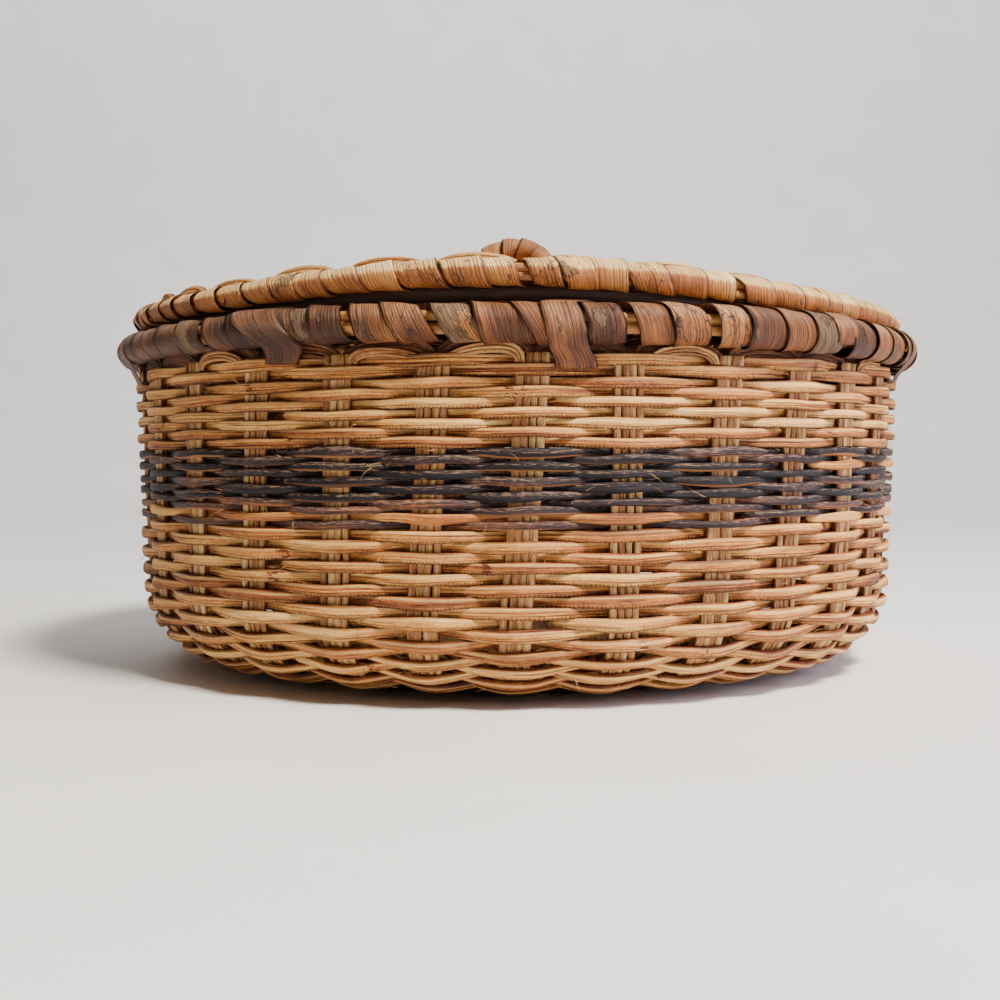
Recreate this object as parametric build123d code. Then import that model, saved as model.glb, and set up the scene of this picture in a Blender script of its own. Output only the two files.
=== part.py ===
from build123d import *
import math
import os

# Round covered basket of split cane: a woven base, and a lid that lifts straight off.
# Millimetres, +Z up, origin on the table under the middle of the base. The near side is -Y.

# ---- driving dimensions -------------------------------------------------------------------

# the weave, shared by base and lid
STAKE_COUNT = 29            # an odd count lets one weaver alternate on every round
STRANDS_PER_STAKE = 4       # flat strands side by side make one stake
STRAND_WIDTH = 1.8
STRAND_GAP = 0.18           # between neighbouring strands of one stake
STRAND_THICKNESS = 1.6
WEAVER_THICKNESS = 1.3
WEAVE_CLEARANCE = 0.5       # between a weaver and the stake that it passes
ROW_CLEARANCE = 0.22        # between one row and the next
TURNS_PER_WEAVER = 5        # rounds made by one length of cane
FIRST_STAKE_ANGLE = 0.4     # degrees from the near side, towards +X

# base
FOOT_HEIGHT = 1.8
FOOT_INSET = 34.9           # of the foot's outer edge from WALL_TOP_RADIUS
FOOT_WIDTH = 7.5
WALL_TOP_RADIUS = 117.4     # middle of the weave at WALL_TOP_HEIGHT
WALL_TOP_HEIGHT = 92.0
WALL_FLARE = 1.9            # degrees
CORNER_RADIUS = 21.0        # of the weave's middle, between bottom and wall
COARSE_ROW = 2.42           # height of a natural weaver
FINE_ROW = 1.58             # height of a dark weaver
CLOSE_ROW = 2.2             # height of a weaver near the rim
HEEL_REACH = 7.0            # past the flat bottom, where its rows become the wall's rows
DARK_ROUNDS = 11
UPPER_ROUNDS = 7
BORDER_ROUNDS = 2
BORDER_CLEARANCE = 1.20475   # between the top row and the rim's underside, at the back
RIM_OUTSET = 3.0            # of the rim's middle, outward from the wall's top
RIM_LIFT = 3.7              # and up from it
RIM_CANE_RADIUS = 1.5
RIM_CANE_COUNT = 4
RIM_CANE_GAP = 0.11127      # between two canes side by side
STAKE_REACH = 0.3           # of the stakes past the rim's underside
LASHED_GAPS = (0, 3, 5, 8, 11, 13, 16, 18, 21, 23, 26)  # gaps between stakes, counted from the near side

# lid
LID_CLEARANCE = 0.175       # between the seat hoop's lashings and the base's rim
LID_RISE = 6.7              # of the weave's middle at the centre, over the lid's rim
LID_FLAT_MARGIN = 1.0       # of the flat middle, round the centre mat
LID_BEND_RADIUS = 150.0
LID_BEND = 5.0              # degrees
LID_SPOKE_GAP = 0.3         # to the lid's binding
LID_EDGE_ROUNDS = 1
LID_LASHING_SLOT = 1.3      # wider than the wall's, because the lid slopes where it passes
LID_SPOKE_OVERHANG = 2.0    # of the spokes past the last round
LID_RIM_INSET = 4.0         # from the middle of the base's rim
LID_CANE_RADIUS = 1.35
LID_CANE_COUNT = 3
LID_CANE_GAP = 0.33109
LID_TILT = 0.6              # degrees: the worn lid sits a little higher at the near side
SEAT_INSET = 0.4            # of the seat hoop's outer face from the rim's middle
SEAT_WIDTH = 3.8
SEAT_HEIGHT = 2.2

# binding strips and lashings
STRIP_THICKNESS = 0.55
BINDING_CLEARANCE = 0.25    # round the canes in it
BINDING_PITCH = 11.3        # along the rim, from one turn to the next
BINDING_GAP = 0.7
LASHING_WIDTH = 9.4
LASHING_GAP = 0.45          # to the binding beside it, and over what it ties
LASHING_SLOT = 1.05         # between the rows that it passes

# strands that arch from stake to stake
ARCH_SIDE_GAP = 0.6         # to the stakes beside it
BORDER_ARCH_LIFT = 0.45     # foot above the top row
BORDER_ARCH_RISE = 0.75
BORDER_ARCH_WIDTH = 1.2
BORDER_ARCH_THICKNESS = 0.7
BORDER_ARCH_PLACES = (-0.9, 0.5)    # of the two strands, outward from the wall's middle
LID_ARCH_RISE = 7.1         # over the lashings that pass under it
LID_ARCH_WIDTH = 1.0
LID_ARCH_THICKNESS = 0.8
LID_ARCH_INSETS = (0, 0.95)         # each inner strand under the outer one
LID_ARCH_SETBACK = 0.6              # from the spokes' ends

# centre mats
SLAT_COUNT = 9
SLAT_PITCH = 7.2
SLAT_GAP = 0.4
SLAT_THICKNESS = 1.0
MAT_MARGIN = 2.6            # of the mat, outside its slats
MAT_CLEARANCE = 0.15
FIRST_ROW_GAP = 1.39        # from the mat to the first row
INNER_STRAND_START = 22.0
OUTER_STRAND_START = 70.0

# handle
HANDLE_RADIUS = 12.0        # of the arch's middle
HANDLE_HEIGHT = 20.5        # over the middle of the lid's weave
HANDLE_CANE_RADIUS = 1.0
HANDLE_CANE_GAP = 0.1       # between the two lower canes
HANDLE_CANE_NEST = 0.15     # of the upper cane over their tops
HANDLE_CANE_SINK = 0.4
HANDLE_CLEARANCE = 0.5      # between the upper cane and the binding
HANDLE_STRIP_THICKNESS = 0.95
HANDLE_STRIP_WIDTH = 5.2
HANDLE_TAIL = 3.0           # of each cane below the lid's centre

POINTS_PER_GAP = 6          # of a weaver's edge, from one stake to the next
POINTS_PER_WRAP = 12
GAPS_PER_FACE = 15          # a long cane's sides are made in stretches, cut between two stakes
STRAND_BEND_STEPS = 6
ARCH_STEPS = 16

# ---- sizes that follow --------------------------------------------------------------------

RIM_RADIUS = WALL_TOP_RADIUS + RIM_OUTSET
RIM_HEIGHT = WALL_TOP_HEIGHT + RIM_LIFT
RIM_CANE_OFFSET = (RIM_CANE_RADIUS + RIM_CANE_GAP / 2) / math.sin(math.pi / RIM_CANE_COUNT)
RIM_BINDING_OUTER = RIM_CANE_OFFSET + RIM_CANE_RADIUS + BINDING_CLEARANCE + STRIP_THICKNESS
LID_CANE_OFFSET = (LID_CANE_RADIUS + LID_CANE_GAP / 2) / math.sin(math.pi / LID_CANE_COUNT)
LID_BINDING_OUTER = LID_CANE_OFFSET + LID_CANE_RADIUS + BINDING_CLEARANCE + STRIP_THICKNESS
SEAT_DEPTH = 2 * STRIP_THICKNESS + SEAT_HEIGHT + LASHING_GAP / 2    # with its lashings
LID_RIM_RADIUS = RIM_RADIUS - LID_RIM_INSET
LID_RIM_HEIGHT = RIM_HEIGHT + RIM_BINDING_OUTER + LID_CLEARANCE + SEAT_DEPTH + LID_BINDING_OUTER
LID_CENTRE_HEIGHT = LID_RIM_HEIGHT + LID_RISE
LID_SPOKE_END = LID_RIM_RADIUS - LID_BINDING_OUTER - LID_SPOKE_GAP
SEAT_OUTER_RADIUS = LID_RIM_RADIUS - SEAT_INSET
SEAT_INNER_RADIUS = SEAT_OUTER_RADIUS - SEAT_WIDTH
FOOT_OUTER_RADIUS = WALL_TOP_RADIUS - FOOT_INSET
FOOT_INNER_RADIUS = FOOT_OUTER_RADIUS - FOOT_WIDTH
MAT_RADIUS = SLAT_COUNT * SLAT_PITCH / 2 + MAT_MARGIN
FIRST_ROW_RADIUS = MAT_RADIUS + FIRST_ROW_GAP + COARSE_ROW / 2
LID_FLAT_RADIUS = MAT_RADIUS + LID_FLAT_MARGIN
HANDLE_TOP = LID_CENTRE_HEIGHT + HANDLE_HEIGHT
HANDLE_CANE_SIDE = HANDLE_CANE_RADIUS + HANDLE_CANE_GAP / 2
HANDLE_CANE_DROP = HANDLE_CANE_RADIUS - HANDLE_CANE_SINK
HANDLE_CANE_RISE = HANDLE_CANE_RADIUS + HANDLE_CANE_NEST
HANDLE_BINDING_OUTER = (HANDLE_CANE_RISE + HANDLE_CANE_RADIUS + HANDLE_CLEARANCE
                        + HANDLE_STRIP_THICKNESS)

STAKE_STEP_ANGLE = 2 * math.pi / STAKE_COUNT
WEAVE_SWING = (WEAVER_THICKNESS + STRAND_THICKNESS) / 2 + WEAVE_CLEARANCE
WEAVE_HALF = WEAVE_SWING + WEAVER_THICKNESS / 2
STAKE_HALF_WIDTH = (STRANDS_PER_STAKE * (STRAND_WIDTH + STRAND_GAP) - STRAND_GAP) / 2
BOTTOM_HEIGHT = FOOT_HEIGHT + 0.2 + WEAVE_HALF


def rim_point(angle, radius, height):
    """A point by its angle from the near side, towards +X."""
    return Vector(radius * math.sin(angle), -radius * math.cos(angle), height)


def edge_through(points):
    """A straight edge through two points, or a smooth one through more."""
    if len(points) == 2:
        return Edge.make_line(points[0], points[1])
    places = [index / (len(points) - 1) for index in range(len(points))]
    return Edge.make_spline(points, parameters=places)


def ribbon(rails, face_points):
    """A closed strip whose four long edges run through the four lists of points in rails.

    face_points holds the places along the lists where one face ends and the next begins.
    """
    faces = []
    for low, high in zip(face_points, face_points[1:]):
        edges = [edge_through(rail[low:high + 1]) for rail in rails]
        faces += [Face.make_surface_from_curves(edges[k], edges[(k + 1) % 4]) for k in range(4)]
    faces += [Face(Wire.make_polygon([rail[k] for rail in rails], close=True)) for k in (0, -1)]
    return Solid(Shell(faces))


def every(step, last):
    """Places 0, step, 2 step and so on, and the last one."""
    places = list(range(0, last, step))
    if len(places) > 1 and last - places[-1] < step / 2:
        places.pop()
    return places + [last]


class WovenShell:
    """The middle surface of a weave: flat round its centre, then one bend, then straight.

    Places on it are distances from the axis, measured along the surface. rise is 1 where it
    bends up, as the base does, and -1 where it bends down, as the lid does.
    """

    def __init__(self, height, flat, bend, turn, rise):
        self.height = height
        self.flat = flat
        self.bend = bend
        self.turn = math.radians(turn)
        self.rise = rise
        self.straight_from = flat + bend * self.turn

    def at(self, distance):
        """Radius, height and slope angle."""
        slope = min(max(distance - self.flat, 0) / self.bend, self.turn)
        radius = min(distance, self.flat) + self.bend * math.sin(slope)
        drop = self.bend * (1 - math.cos(slope))
        beyond = max(distance - self.straight_from, 0)
        radius += beyond * math.cos(self.turn)
        drop += beyond * math.sin(self.turn)
        return radius, self.height + self.rise * drop, slope

    def point(self, distance, angle, outward=0, sideways=0):
        """A point off the middle surface, outward from it and sideways along the round."""
        radius, height, slope = self.at(distance)
        radius += outward * math.sin(slope)
        height -= self.rise * outward * math.cos(slope)
        along = Vector(math.cos(angle), math.sin(angle), 0)
        return rim_point(angle, radius, height) + along * sideways

    def to_radius(self, radius):
        """Distance along the surface to a radius on its straight part."""
        reached = self.at(self.straight_from)[0]
        return self.straight_from + (radius - reached) / math.cos(self.turn)

    def to_height(self, height):
        """Distance along the surface to a height on its straight part."""
        reached = self.at(self.straight_from)[1]
        return self.straight_from + self.rise * (height - reached) / math.sin(self.turn)

    def to_bend_radius(self, radius):
        """Distance along the surface to a radius on its bend."""
        return self.flat + self.bend * math.asin((radius - self.flat) / self.bend)


WALL_TURN = 90 - WALL_FLARE
BEND_REACH = CORNER_RADIUS * math.sin(math.radians(WALL_TURN))
BEND_RISE = CORNER_RADIUS * (1 - math.cos(math.radians(WALL_TURN)))
STRAIGHT_RISE = WALL_TOP_HEIGHT - BOTTOM_HEIGHT - BEND_RISE
BOTTOM_FLAT = WALL_TOP_RADIUS - BEND_REACH - STRAIGHT_RISE * math.tan(math.radians(WALL_FLARE))

base_shell = WovenShell(BOTTOM_HEIGHT, BOTTOM_FLAT, CORNER_RADIUS, WALL_TURN, 1)
lid_shell = WovenShell(LID_CENTRE_HEIGHT, LID_FLAT_RADIUS, LID_BEND_RADIUS, LID_BEND, -1)


# ---- pieces of the weave ------------------------------------------------------------------

def swing(angle):
    """A weaver's offset from the stakes: flat over each stake, steep between two."""
    phase = (angle - math.radians(FIRST_STAKE_ANGLE)) / STAKE_STEP_ANGLE * math.pi
    return WEAVE_SWING * (1.15 * math.cos(phase) - 0.15 * math.cos(3 * phase))


def weaver(shell, start, pitch, row, first_turn, turns):
    """One length of cane that goes round and round, in front of one stake and behind the next."""
    steps = round(turns * STAKE_COUNT * POINTS_PER_GAP) - 1
    rails = [[], [], [], []]
    for index in range(steps + 1):
        turned = index / (STAKE_COUNT * POINTS_PER_GAP)
        angle = math.pi + 2 * math.pi * (first_turn + turned)
        place = start + pitch * turned
        offset = swing(angle)
        half = WEAVER_THICKNESS / 2
        corners = ((-half, -row / 2), (half, -row / 2), (half, row / 2), (-half, row / 2))
        for rail, (out, up) in zip(rails, corners):
            rail.append(shell.point(place + up, angle, offset + out))
    return ribbon(rails, every(GAPS_PER_FACE * POINTS_PER_GAP, steps))


def weave(shell, start, pitch, row, first_turn, turns):
    """A band of the weave, as the separate lengths that make it."""
    lengths = []
    done = 0
    while done < turns:
        part = min(TURNS_PER_WEAVER, turns - done)
        lengths.append(weaver(shell, start + pitch * done, pitch, row, first_turn + done, part))
        done += part
    return lengths


def strand(shell, angle, sideways, start, end):
    """One flat strand of a stake or a spoke, along the middle surface."""
    step = (shell.straight_from - shell.flat) / STRAND_BEND_STEPS
    bend = [shell.flat + step * index for index in range(STRAND_BEND_STEPS + 1)]
    places = [start] + [place for place in bend if place > start] + [end]
    rails = [[], [], [], []]
    half_width = STRAND_WIDTH / 2
    half = STRAND_THICKNESS / 2
    corners = ((-half_width, -half), (half_width, -half), (half_width, half), (-half_width, half))
    for place in places:
        for rail, (side, out) in zip(rails, corners):
            rail.append(shell.point(place, angle, out, sideways + side))
    return ribbon(rails, sorted({0, 1, len(places) - 2, len(places) - 1}))


def stake_angle(index):
    return math.radians(FIRST_STAKE_ANGLE) + index * STAKE_STEP_ANGLE


def stakes(shell, end):
    """Inner and outer strands of every stake, from the centre mat to the rim."""
    inner = []
    outer = []
    for index in range(STAKE_COUNT):
        for number in range(STRANDS_PER_STAKE):
            sideways = (number - (STRANDS_PER_STAKE - 1) / 2) * (STRAND_WIDTH + STRAND_GAP)
            middle = abs(sideways) < STRAND_WIDTH
            start = INNER_STRAND_START if middle else OUTER_STRAND_START
            group = inner if middle else outer
            group.append(strand(shell, stake_angle(index), sideways, start, end))
    return inner, outer


def centre_mats(height, holes):
    """Two crossed layers of slats that clamp the spokes' inner ends."""
    layers = []
    for side, turn in ((-1, 0), (1, 90)):
        middle = height + side * (STRAND_THICKNESS / 2 + MAT_CLEARANCE + SLAT_THICKNESS / 2)
        disc = Pos(0, 0, middle) * Cylinder(MAT_RADIUS, SLAT_THICKNESS)
        slats = []
        for number in range(SLAT_COUNT):
            place = (number - (SLAT_COUNT - 1) / 2) * SLAT_PITCH
            slat = Pos(0, place, middle) * Box(2 * MAT_RADIUS, SLAT_PITCH - SLAT_GAP, SLAT_THICKNESS)
            slat = (Rot(0, 0, turn) * slat) & disc
            for hole in holes:
                slat = slat - hole
            slats.append(slat.solid())
        layers.append(slats)
    return layers


def arch(radius, foot, half_span, rise, width, thickness, angle):
    """A strand that arches from one stake to the next, in the wall's own curve."""
    rails = [[], [], [], []]
    corners = ((-1, -1), (1, -1), (1, 1), (-1, 1))
    for index in range(ARCH_STEPS + 1):
        turn = math.pi * index / ARCH_STEPS
        for rail, (out, up) in zip(rails, corners):
            side = -(half_span + up * thickness / 2) * math.cos(turn)
            height = foot + (rise + up * thickness / 2) * math.sin(turn)
            rail.append(rim_point(angle + side / radius, radius + out * width / 2, height))
    return ribbon(rails, [0, ARCH_STEPS])


# ---- pieces of the rims -------------------------------------------------------------------

def ring_of_canes(radius, height, offset, cane_radius, count):
    """Canes laid side by side round the rim, as the core of its binding."""
    canes = []
    for number in range(count):
        turn = 2 * math.pi * (number + 0.5) / count
        reach = radius + offset * math.cos(turn)
        canes.append(Pos(0, 0, height + offset * math.sin(turn)) * Torus(reach, cane_radius))
    return canes


def binding(frame_at, start, end, width, outer, thickness, sense):
    """A strip wound round a core. frame_at gives the core's middle, outward and up there."""
    turns = max(1, round((end - start - width) / (width + BINDING_GAP)))
    steps = turns * POINTS_PER_WRAP
    rails = [[], [], [], []]
    corners = ((-1, outer - thickness), (1, outer - thickness), (1, outer), (-1, outer))
    for index in range(steps + 1):
        place = start + width / 2 + (end - start - width) * index / steps
        turn = sense * 2 * math.pi * index / POINTS_PER_WRAP
        for rail, (side, reach) in zip(rails, corners):
            middle, outward, up = frame_at(place + side * width / 2)
            rail.append(middle + outward * (reach * math.cos(turn)) + up * (reach * math.sin(turn)))
    return ribbon(rails, every(POINTS_PER_WRAP, steps))


def rim_frame(radius, height):
    def frame_at(place):
        angle = place / radius
        return rim_point(angle, radius, height), rim_point(angle, 1, 0), Vector(0, 0, 1)
    return frame_at


def lashing_angles():
    """Each lashing passes the weave midway between two stakes."""
    return [stake_angle(gap + 0.5) for gap in LASHED_GAPS]


def rim_bindings(radius, height, outer):
    """The strips that wrap a rim, one from each lashing to the next."""
    angles = lashing_angles()
    angles.append(angles[0] + 2 * math.pi)
    margin = LASHING_WIDTH / 2 + LASHING_GAP
    strips = []
    for low, high in zip(angles, angles[1:]):
        start = low * radius + margin
        end = high * radius - margin
        count = max(1, round((end - start) / BINDING_PITCH))
        width = (end - start - count * BINDING_GAP) / (count + 1)
        strips.append(
            binding(rim_frame(radius, height), start, end, width, outer, STRIP_THICKNESS, -1))
    return strips


def lashing(angle, centre, core, ties):
    """A closed band round the rim and the rows beside it, tight over the points in ties."""
    bands = []
    for grow in (0, STRIP_THICKNESS):
        edges = [Edge.make_circle(core + grow, Plane(origin=centre))]
        for point in ties:
            edges.append(Edge.make_circle(LASHING_GAP / 2 + grow, Plane(origin=point)))
        bands.append(make_hull(edges))
    outline = bands[1] - bands[0]
    across = Plane(origin=(0, 0, 0), x_dir=rim_point(angle, 1, 0),
                   z_dir=Vector(-math.cos(angle), -math.sin(angle), 0))
    return extrude(across * outline, LASHING_WIDTH / 2, both=True).solid()


# ---- base ---------------------------------------------------------------------------------

def row_start(previous_end, previous_row, previous_pitch, row, pitch, gap):
    """Where the next band starts, so that its first round clears the last one."""
    return previous_end + (previous_row + row) / 2 + gap - min(previous_pitch, pitch)


def build_base():
    nodes = {}
    ring = Cylinder(FOOT_OUTER_RADIUS, FOOT_HEIGHT) - Cylinder(FOOT_INNER_RADIUS, FOOT_HEIGHT)
    ring = Pos(0, 0, FOOT_HEIGHT / 2) * ring
    top_edges = ring.edges().group_by(Axis.Z)[-1]
    nodes["foot_hoop"] = [fillet(top_edges, FOOT_HEIGHT / 3).solid()]

    lower, upper = centre_mats(BOTTOM_HEIGHT, [])
    nodes["centre_slats_under"] = lower
    nodes["centre_slats_over"] = upper

    stake_end = base_shell.to_height(RIM_HEIGHT - RIM_BINDING_OUTER + STAKE_REACH)
    inner, outer = stakes(base_shell, stake_end)
    nodes["stake_inner_strands"] = inner
    nodes["stake_outer_strands"] = outer

    coarse_pitch = COARSE_ROW + ROW_CLEARANCE
    heel = base_shell.to_bend_radius(BOTTOM_FLAT + HEEL_REACH)
    bottom_rounds = math.floor((heel - FIRST_ROW_RADIUS) / coarse_pitch)
    for number, piece in enumerate(
            weave(base_shell, FIRST_ROW_RADIUS, coarse_pitch, COARSE_ROW, 0, bottom_rounds)):
        nodes[f"bottom_weaver_{number + 1}"] = [piece]
    turn = bottom_rounds

    dark_pitch = FINE_ROW + ROW_CLEARANCE
    close_pitch = CLOSE_ROW + ROW_CLEARANCE
    upper_from_dark = row_start(DARK_ROUNDS * dark_pitch, FINE_ROW, dark_pitch,
                                CLOSE_ROW, close_pitch, ROW_CLEARANCE)
    border_from_dark = row_start(upper_from_dark + UPPER_ROUNDS * close_pitch, CLOSE_ROW,
                                 close_pitch, CLOSE_ROW, close_pitch, LASHING_SLOT)
    top_from_dark = border_from_dark + BORDER_ROUNDS * close_pitch + CLOSE_ROW / 2
    under_rim = base_shell.to_height(RIM_HEIGHT - RIM_BINDING_OUTER)
    dark = under_rim - BORDER_CLEARANCE - top_from_dark
    lower_start = FIRST_ROW_RADIUS + bottom_rounds * coarse_pitch
    lower_room = dark - (COARSE_ROW + FINE_ROW) / 2 - ROW_CLEARANCE + dark_pitch - lower_start
    lower_rounds = math.floor(lower_room / coarse_pitch)
    lower_pitch = lower_room / lower_rounds
    for number, piece in enumerate(
            weave(base_shell, lower_start, lower_pitch, COARSE_ROW, turn, lower_rounds)):
        nodes[f"lower_weaver_{number + 1}"] = [piece]
    turn += lower_rounds

    for number, piece in enumerate(
            weave(base_shell, dark, dark_pitch, FINE_ROW, turn, DARK_ROUNDS)):
        nodes[f"dark_weaver_{number + 1}"] = [piece]
    turn += DARK_ROUNDS

    upper_start = dark + upper_from_dark
    for number, piece in enumerate(
            weave(base_shell, upper_start, close_pitch, CLOSE_ROW, turn, UPPER_ROUNDS)):
        nodes[f"upper_weaver_{number + 1}"] = [piece]
    turn += UPPER_ROUNDS

    upper_end = upper_start + UPPER_ROUNDS * close_pitch
    border_start = dark + border_from_dark
    nodes["border_weaver"] = weave(
        base_shell, border_start, close_pitch, CLOSE_ROW, turn, BORDER_ROUNDS)

    border_top = base_shell.at(border_start + BORDER_ROUNDS * close_pitch + CLOSE_ROW / 2)[1]
    half_span = math.pi * WALL_TOP_RADIUS / STAKE_COUNT - STAKE_HALF_WIDTH - ARCH_SIDE_GAP
    foot = border_top + BORDER_ARCH_LIFT
    arches = []
    for index in range(STAKE_COUNT):
        for outward in BORDER_ARCH_PLACES:
            arches.append(arch(WALL_TOP_RADIUS + outward, foot, half_span, BORDER_ARCH_RISE,
                               BORDER_ARCH_WIDTH, BORDER_ARCH_THICKNESS, stake_angle(index + 0.5)))
    nodes["border_arches"] = arches

    for number, cane in enumerate(
            ring_of_canes(RIM_RADIUS, RIM_HEIGHT, RIM_CANE_OFFSET, RIM_CANE_RADIUS, RIM_CANE_COUNT)):
        nodes[f"rim_cane_{number + 1}"] = [cane]
    nodes["rim_binding"] = rim_bindings(RIM_RADIUS, RIM_HEIGHT, RIM_BINDING_OUTER)

    lashings = []
    for angle in lashing_angles():
        turned = (angle - math.pi) / (2 * math.pi) % 1
        slot = upper_end - close_pitch * (1 - turned) + (CLOSE_ROW + LASHING_SLOT) / 2
        radius, height, _ = base_shell.at(slot)
        level = height + STRIP_THICKNESS / 2 + LASHING_GAP / 2
        reach = WEAVE_HALF + LASHING_GAP / 2
        core = RIM_BINDING_OUTER - STRIP_THICKNESS
        ties = [(radius + reach, level), (radius - reach, level)]
        lashings.append(lashing(angle, (RIM_RADIUS, RIM_HEIGHT), core, ties))
    nodes["rim_lashings"] = lashings
    return nodes


# ---- lid ----------------------------------------------------------------------------------

def handle_frame(foot_height):
    """The arch's middle line, from the -X foot over the top to the +X foot."""
    leg = HANDLE_TOP - HANDLE_BINDING_OUTER - HANDLE_RADIUS - foot_height
    half_round = math.pi * HANDLE_RADIUS

    def frame_at(place):
        turn = min(max(place - leg, 0) / HANDLE_RADIUS, math.pi)
        outward = Vector(-math.cos(turn), 0, math.sin(turn))
        below = max(leg - place, 0) + max(place - leg - half_round, 0)
        middle = outward * HANDLE_RADIUS + Vector(0, 0, foot_height + leg - below)
        return middle, outward, Vector(0, 1, 0)
    return frame_at, 2 * leg + half_round


def handle_cane(tail_height, arch_height, radius, side):
    """One cane of the handle, bent over, with both ends down through the lid's centre."""
    path = (Line((-radius, side, tail_height), (-radius, side, arch_height))
            + ThreePointArc((-radius, side, arch_height), (0, side, arch_height + radius),
                            (radius, side, arch_height))
            + Line((radius, side, arch_height), (radius, side, tail_height)))
    section = Plane(origin=(-radius, side, tail_height), z_dir=(0, 0, 1)) * Circle(HANDLE_CANE_RADIUS)
    return sweep(section, path=path).solid()


def build_lid():
    nodes = {}
    arch_height = HANDLE_TOP - HANDLE_BINDING_OUTER - HANDLE_RADIUS
    tail_height = LID_CENTRE_HEIGHT - HANDLE_TAIL
    places = [(HANDLE_RADIUS - HANDLE_CANE_DROP, HANDLE_CANE_SIDE),
              (HANDLE_RADIUS - HANDLE_CANE_DROP, -HANDLE_CANE_SIDE),
              (HANDLE_RADIUS + HANDLE_CANE_RISE, 0)]
    bundle = math.hypot(HANDLE_CANE_DROP, HANDLE_CANE_SIDE) + HANDLE_CANE_RADIUS
    holes = []
    for foot in (-HANDLE_RADIUS, HANDLE_RADIUS):
        hole = Cylinder(bundle + MAT_CLEARANCE, 4 * HANDLE_TAIL)
        holes.append(Pos(foot, 0, LID_CENTRE_HEIGHT) * hole)
    lower, upper = centre_mats(LID_CENTRE_HEIGHT, holes)
    nodes["lid_centre_slats_under"] = lower
    nodes["lid_centre_slats_over"] = upper

    spoke_end = lid_shell.to_radius(LID_SPOKE_END)
    inner, outer = stakes(lid_shell, spoke_end)
    nodes["lid_spoke_inner_strands"] = inner
    nodes["lid_spoke_outer_strands"] = outer

    pitch = COARSE_ROW + ROW_CLEARANCE
    edge_room = LID_EDGE_ROUNDS * pitch + LID_LASHING_SLOT + COARSE_ROW
    last_row = spoke_end - LID_SPOKE_OVERHANG - edge_room
    rounds = math.floor((last_row - FIRST_ROW_RADIUS) / pitch)
    for number, piece in enumerate(
            weave(lid_shell, FIRST_ROW_RADIUS, pitch, COARSE_ROW, 0, rounds)):
        nodes[f"lid_weaver_{number + 1}"] = [piece]
    weave_end = FIRST_ROW_RADIUS + rounds * pitch
    edge_start = row_start(weave_end, COARSE_ROW, pitch, COARSE_ROW, pitch, LID_LASHING_SLOT)
    nodes["lid_edge_weaver"] = weave(
        lid_shell, edge_start, pitch, COARSE_ROW, rounds, LID_EDGE_ROUNDS)

    arch_radius = LID_SPOKE_END - LID_ARCH_SETBACK
    half_span = math.pi * arch_radius / STAKE_COUNT - STAKE_HALF_WIDTH - ARCH_SIDE_GAP
    foot = lid_shell.at(spoke_end)[1]
    arches = []
    for index in range(STAKE_COUNT):
        for inset in LID_ARCH_INSETS:
            arches.append(arch(arch_radius, foot, half_span - inset, LID_ARCH_RISE - inset,
                               LID_ARCH_WIDTH, LID_ARCH_THICKNESS, stake_angle(index + 0.5)))
    nodes["lid_arches"] = arches

    for number, cane in enumerate(ring_of_canes(
            LID_RIM_RADIUS, LID_RIM_HEIGHT, LID_CANE_OFFSET, LID_CANE_RADIUS, LID_CANE_COUNT)):
        nodes[f"lid_rim_cane_{number + 1}"] = [cane]
    nodes["lid_rim_binding"] = rim_bindings(LID_RIM_RADIUS, LID_RIM_HEIGHT, LID_BINDING_OUTER)

    seat_top = LID_RIM_HEIGHT - LID_BINDING_OUTER - STRIP_THICKNESS
    seat_bottom = seat_top - SEAT_HEIGHT
    seat = Cylinder(SEAT_OUTER_RADIUS, SEAT_HEIGHT) - Cylinder(SEAT_INNER_RADIUS, SEAT_HEIGHT)
    nodes["lid_seat_hoop"] = [(Pos(0, 0, (seat_top + seat_bottom) / 2) * seat).solid()]

    lashings = []
    for angle in lashing_angles():
        turned = (angle - math.pi) / (2 * math.pi) % 1
        slot = weave_end - pitch * (1 - turned) + (COARSE_ROW + LID_LASHING_SLOT) / 2
        radius, height, _ = lid_shell.at(slot)
        inside = radius + STRIP_THICKNESS / 2 + LASHING_GAP / 2
        reach = WEAVE_HALF + LASHING_GAP / 2
        core = LID_BINDING_OUTER - STRIP_THICKNESS
        seat_level = seat_bottom
        ties = [(SEAT_OUTER_RADIUS, seat_level), (SEAT_INNER_RADIUS, seat_level),
                (inside, height - reach), (inside, height + reach)]
        lashings.append(lashing(angle, (LID_RIM_RADIUS, LID_RIM_HEIGHT), core, ties))
    nodes["lid_lashings"] = lashings

    for number, (reach, side) in enumerate(places):
        nodes[f"handle_cane_{number + 1}"] = [handle_cane(tail_height, arch_height, reach, side)]
    foot_height = LID_CENTRE_HEIGHT + STRAND_THICKNESS / 2 + 2 * MAT_CLEARANCE + SLAT_THICKNESS
    frame_at, length = handle_frame(foot_height)
    nodes["handle_binding"] = [
        binding(frame_at, 0, length, HANDLE_STRIP_WIDTH, HANDLE_BINDING_OUTER,
                HANDLE_STRIP_THICKNESS, 1)]
    return nodes


def tilt_lid(nodes):
    """The lid leans about the middle of its rim."""
    lean = Pos(0, 0, LID_RIM_HEIGHT) * Rot(-LID_TILT, 0, 0) * Pos(0, 0, -LID_RIM_HEIGHT)
    return {name: [lean * piece for piece in pieces] for name, pieces in nodes.items()}


def main():
    os.makedirs("parts", exist_ok=True)
    nodes = build_base()
    nodes.update(tilt_lid(build_lid()))
    for name, pieces in nodes.items():
        shape = pieces[0] if len(pieces) == 1 else Compound(children=pieces)
        export_step(shape, f"parts/{name}.step")
    print(len(nodes), "nodes,", sum(len(pieces) for pieces in nodes.values()), "solids")


main()
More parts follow.
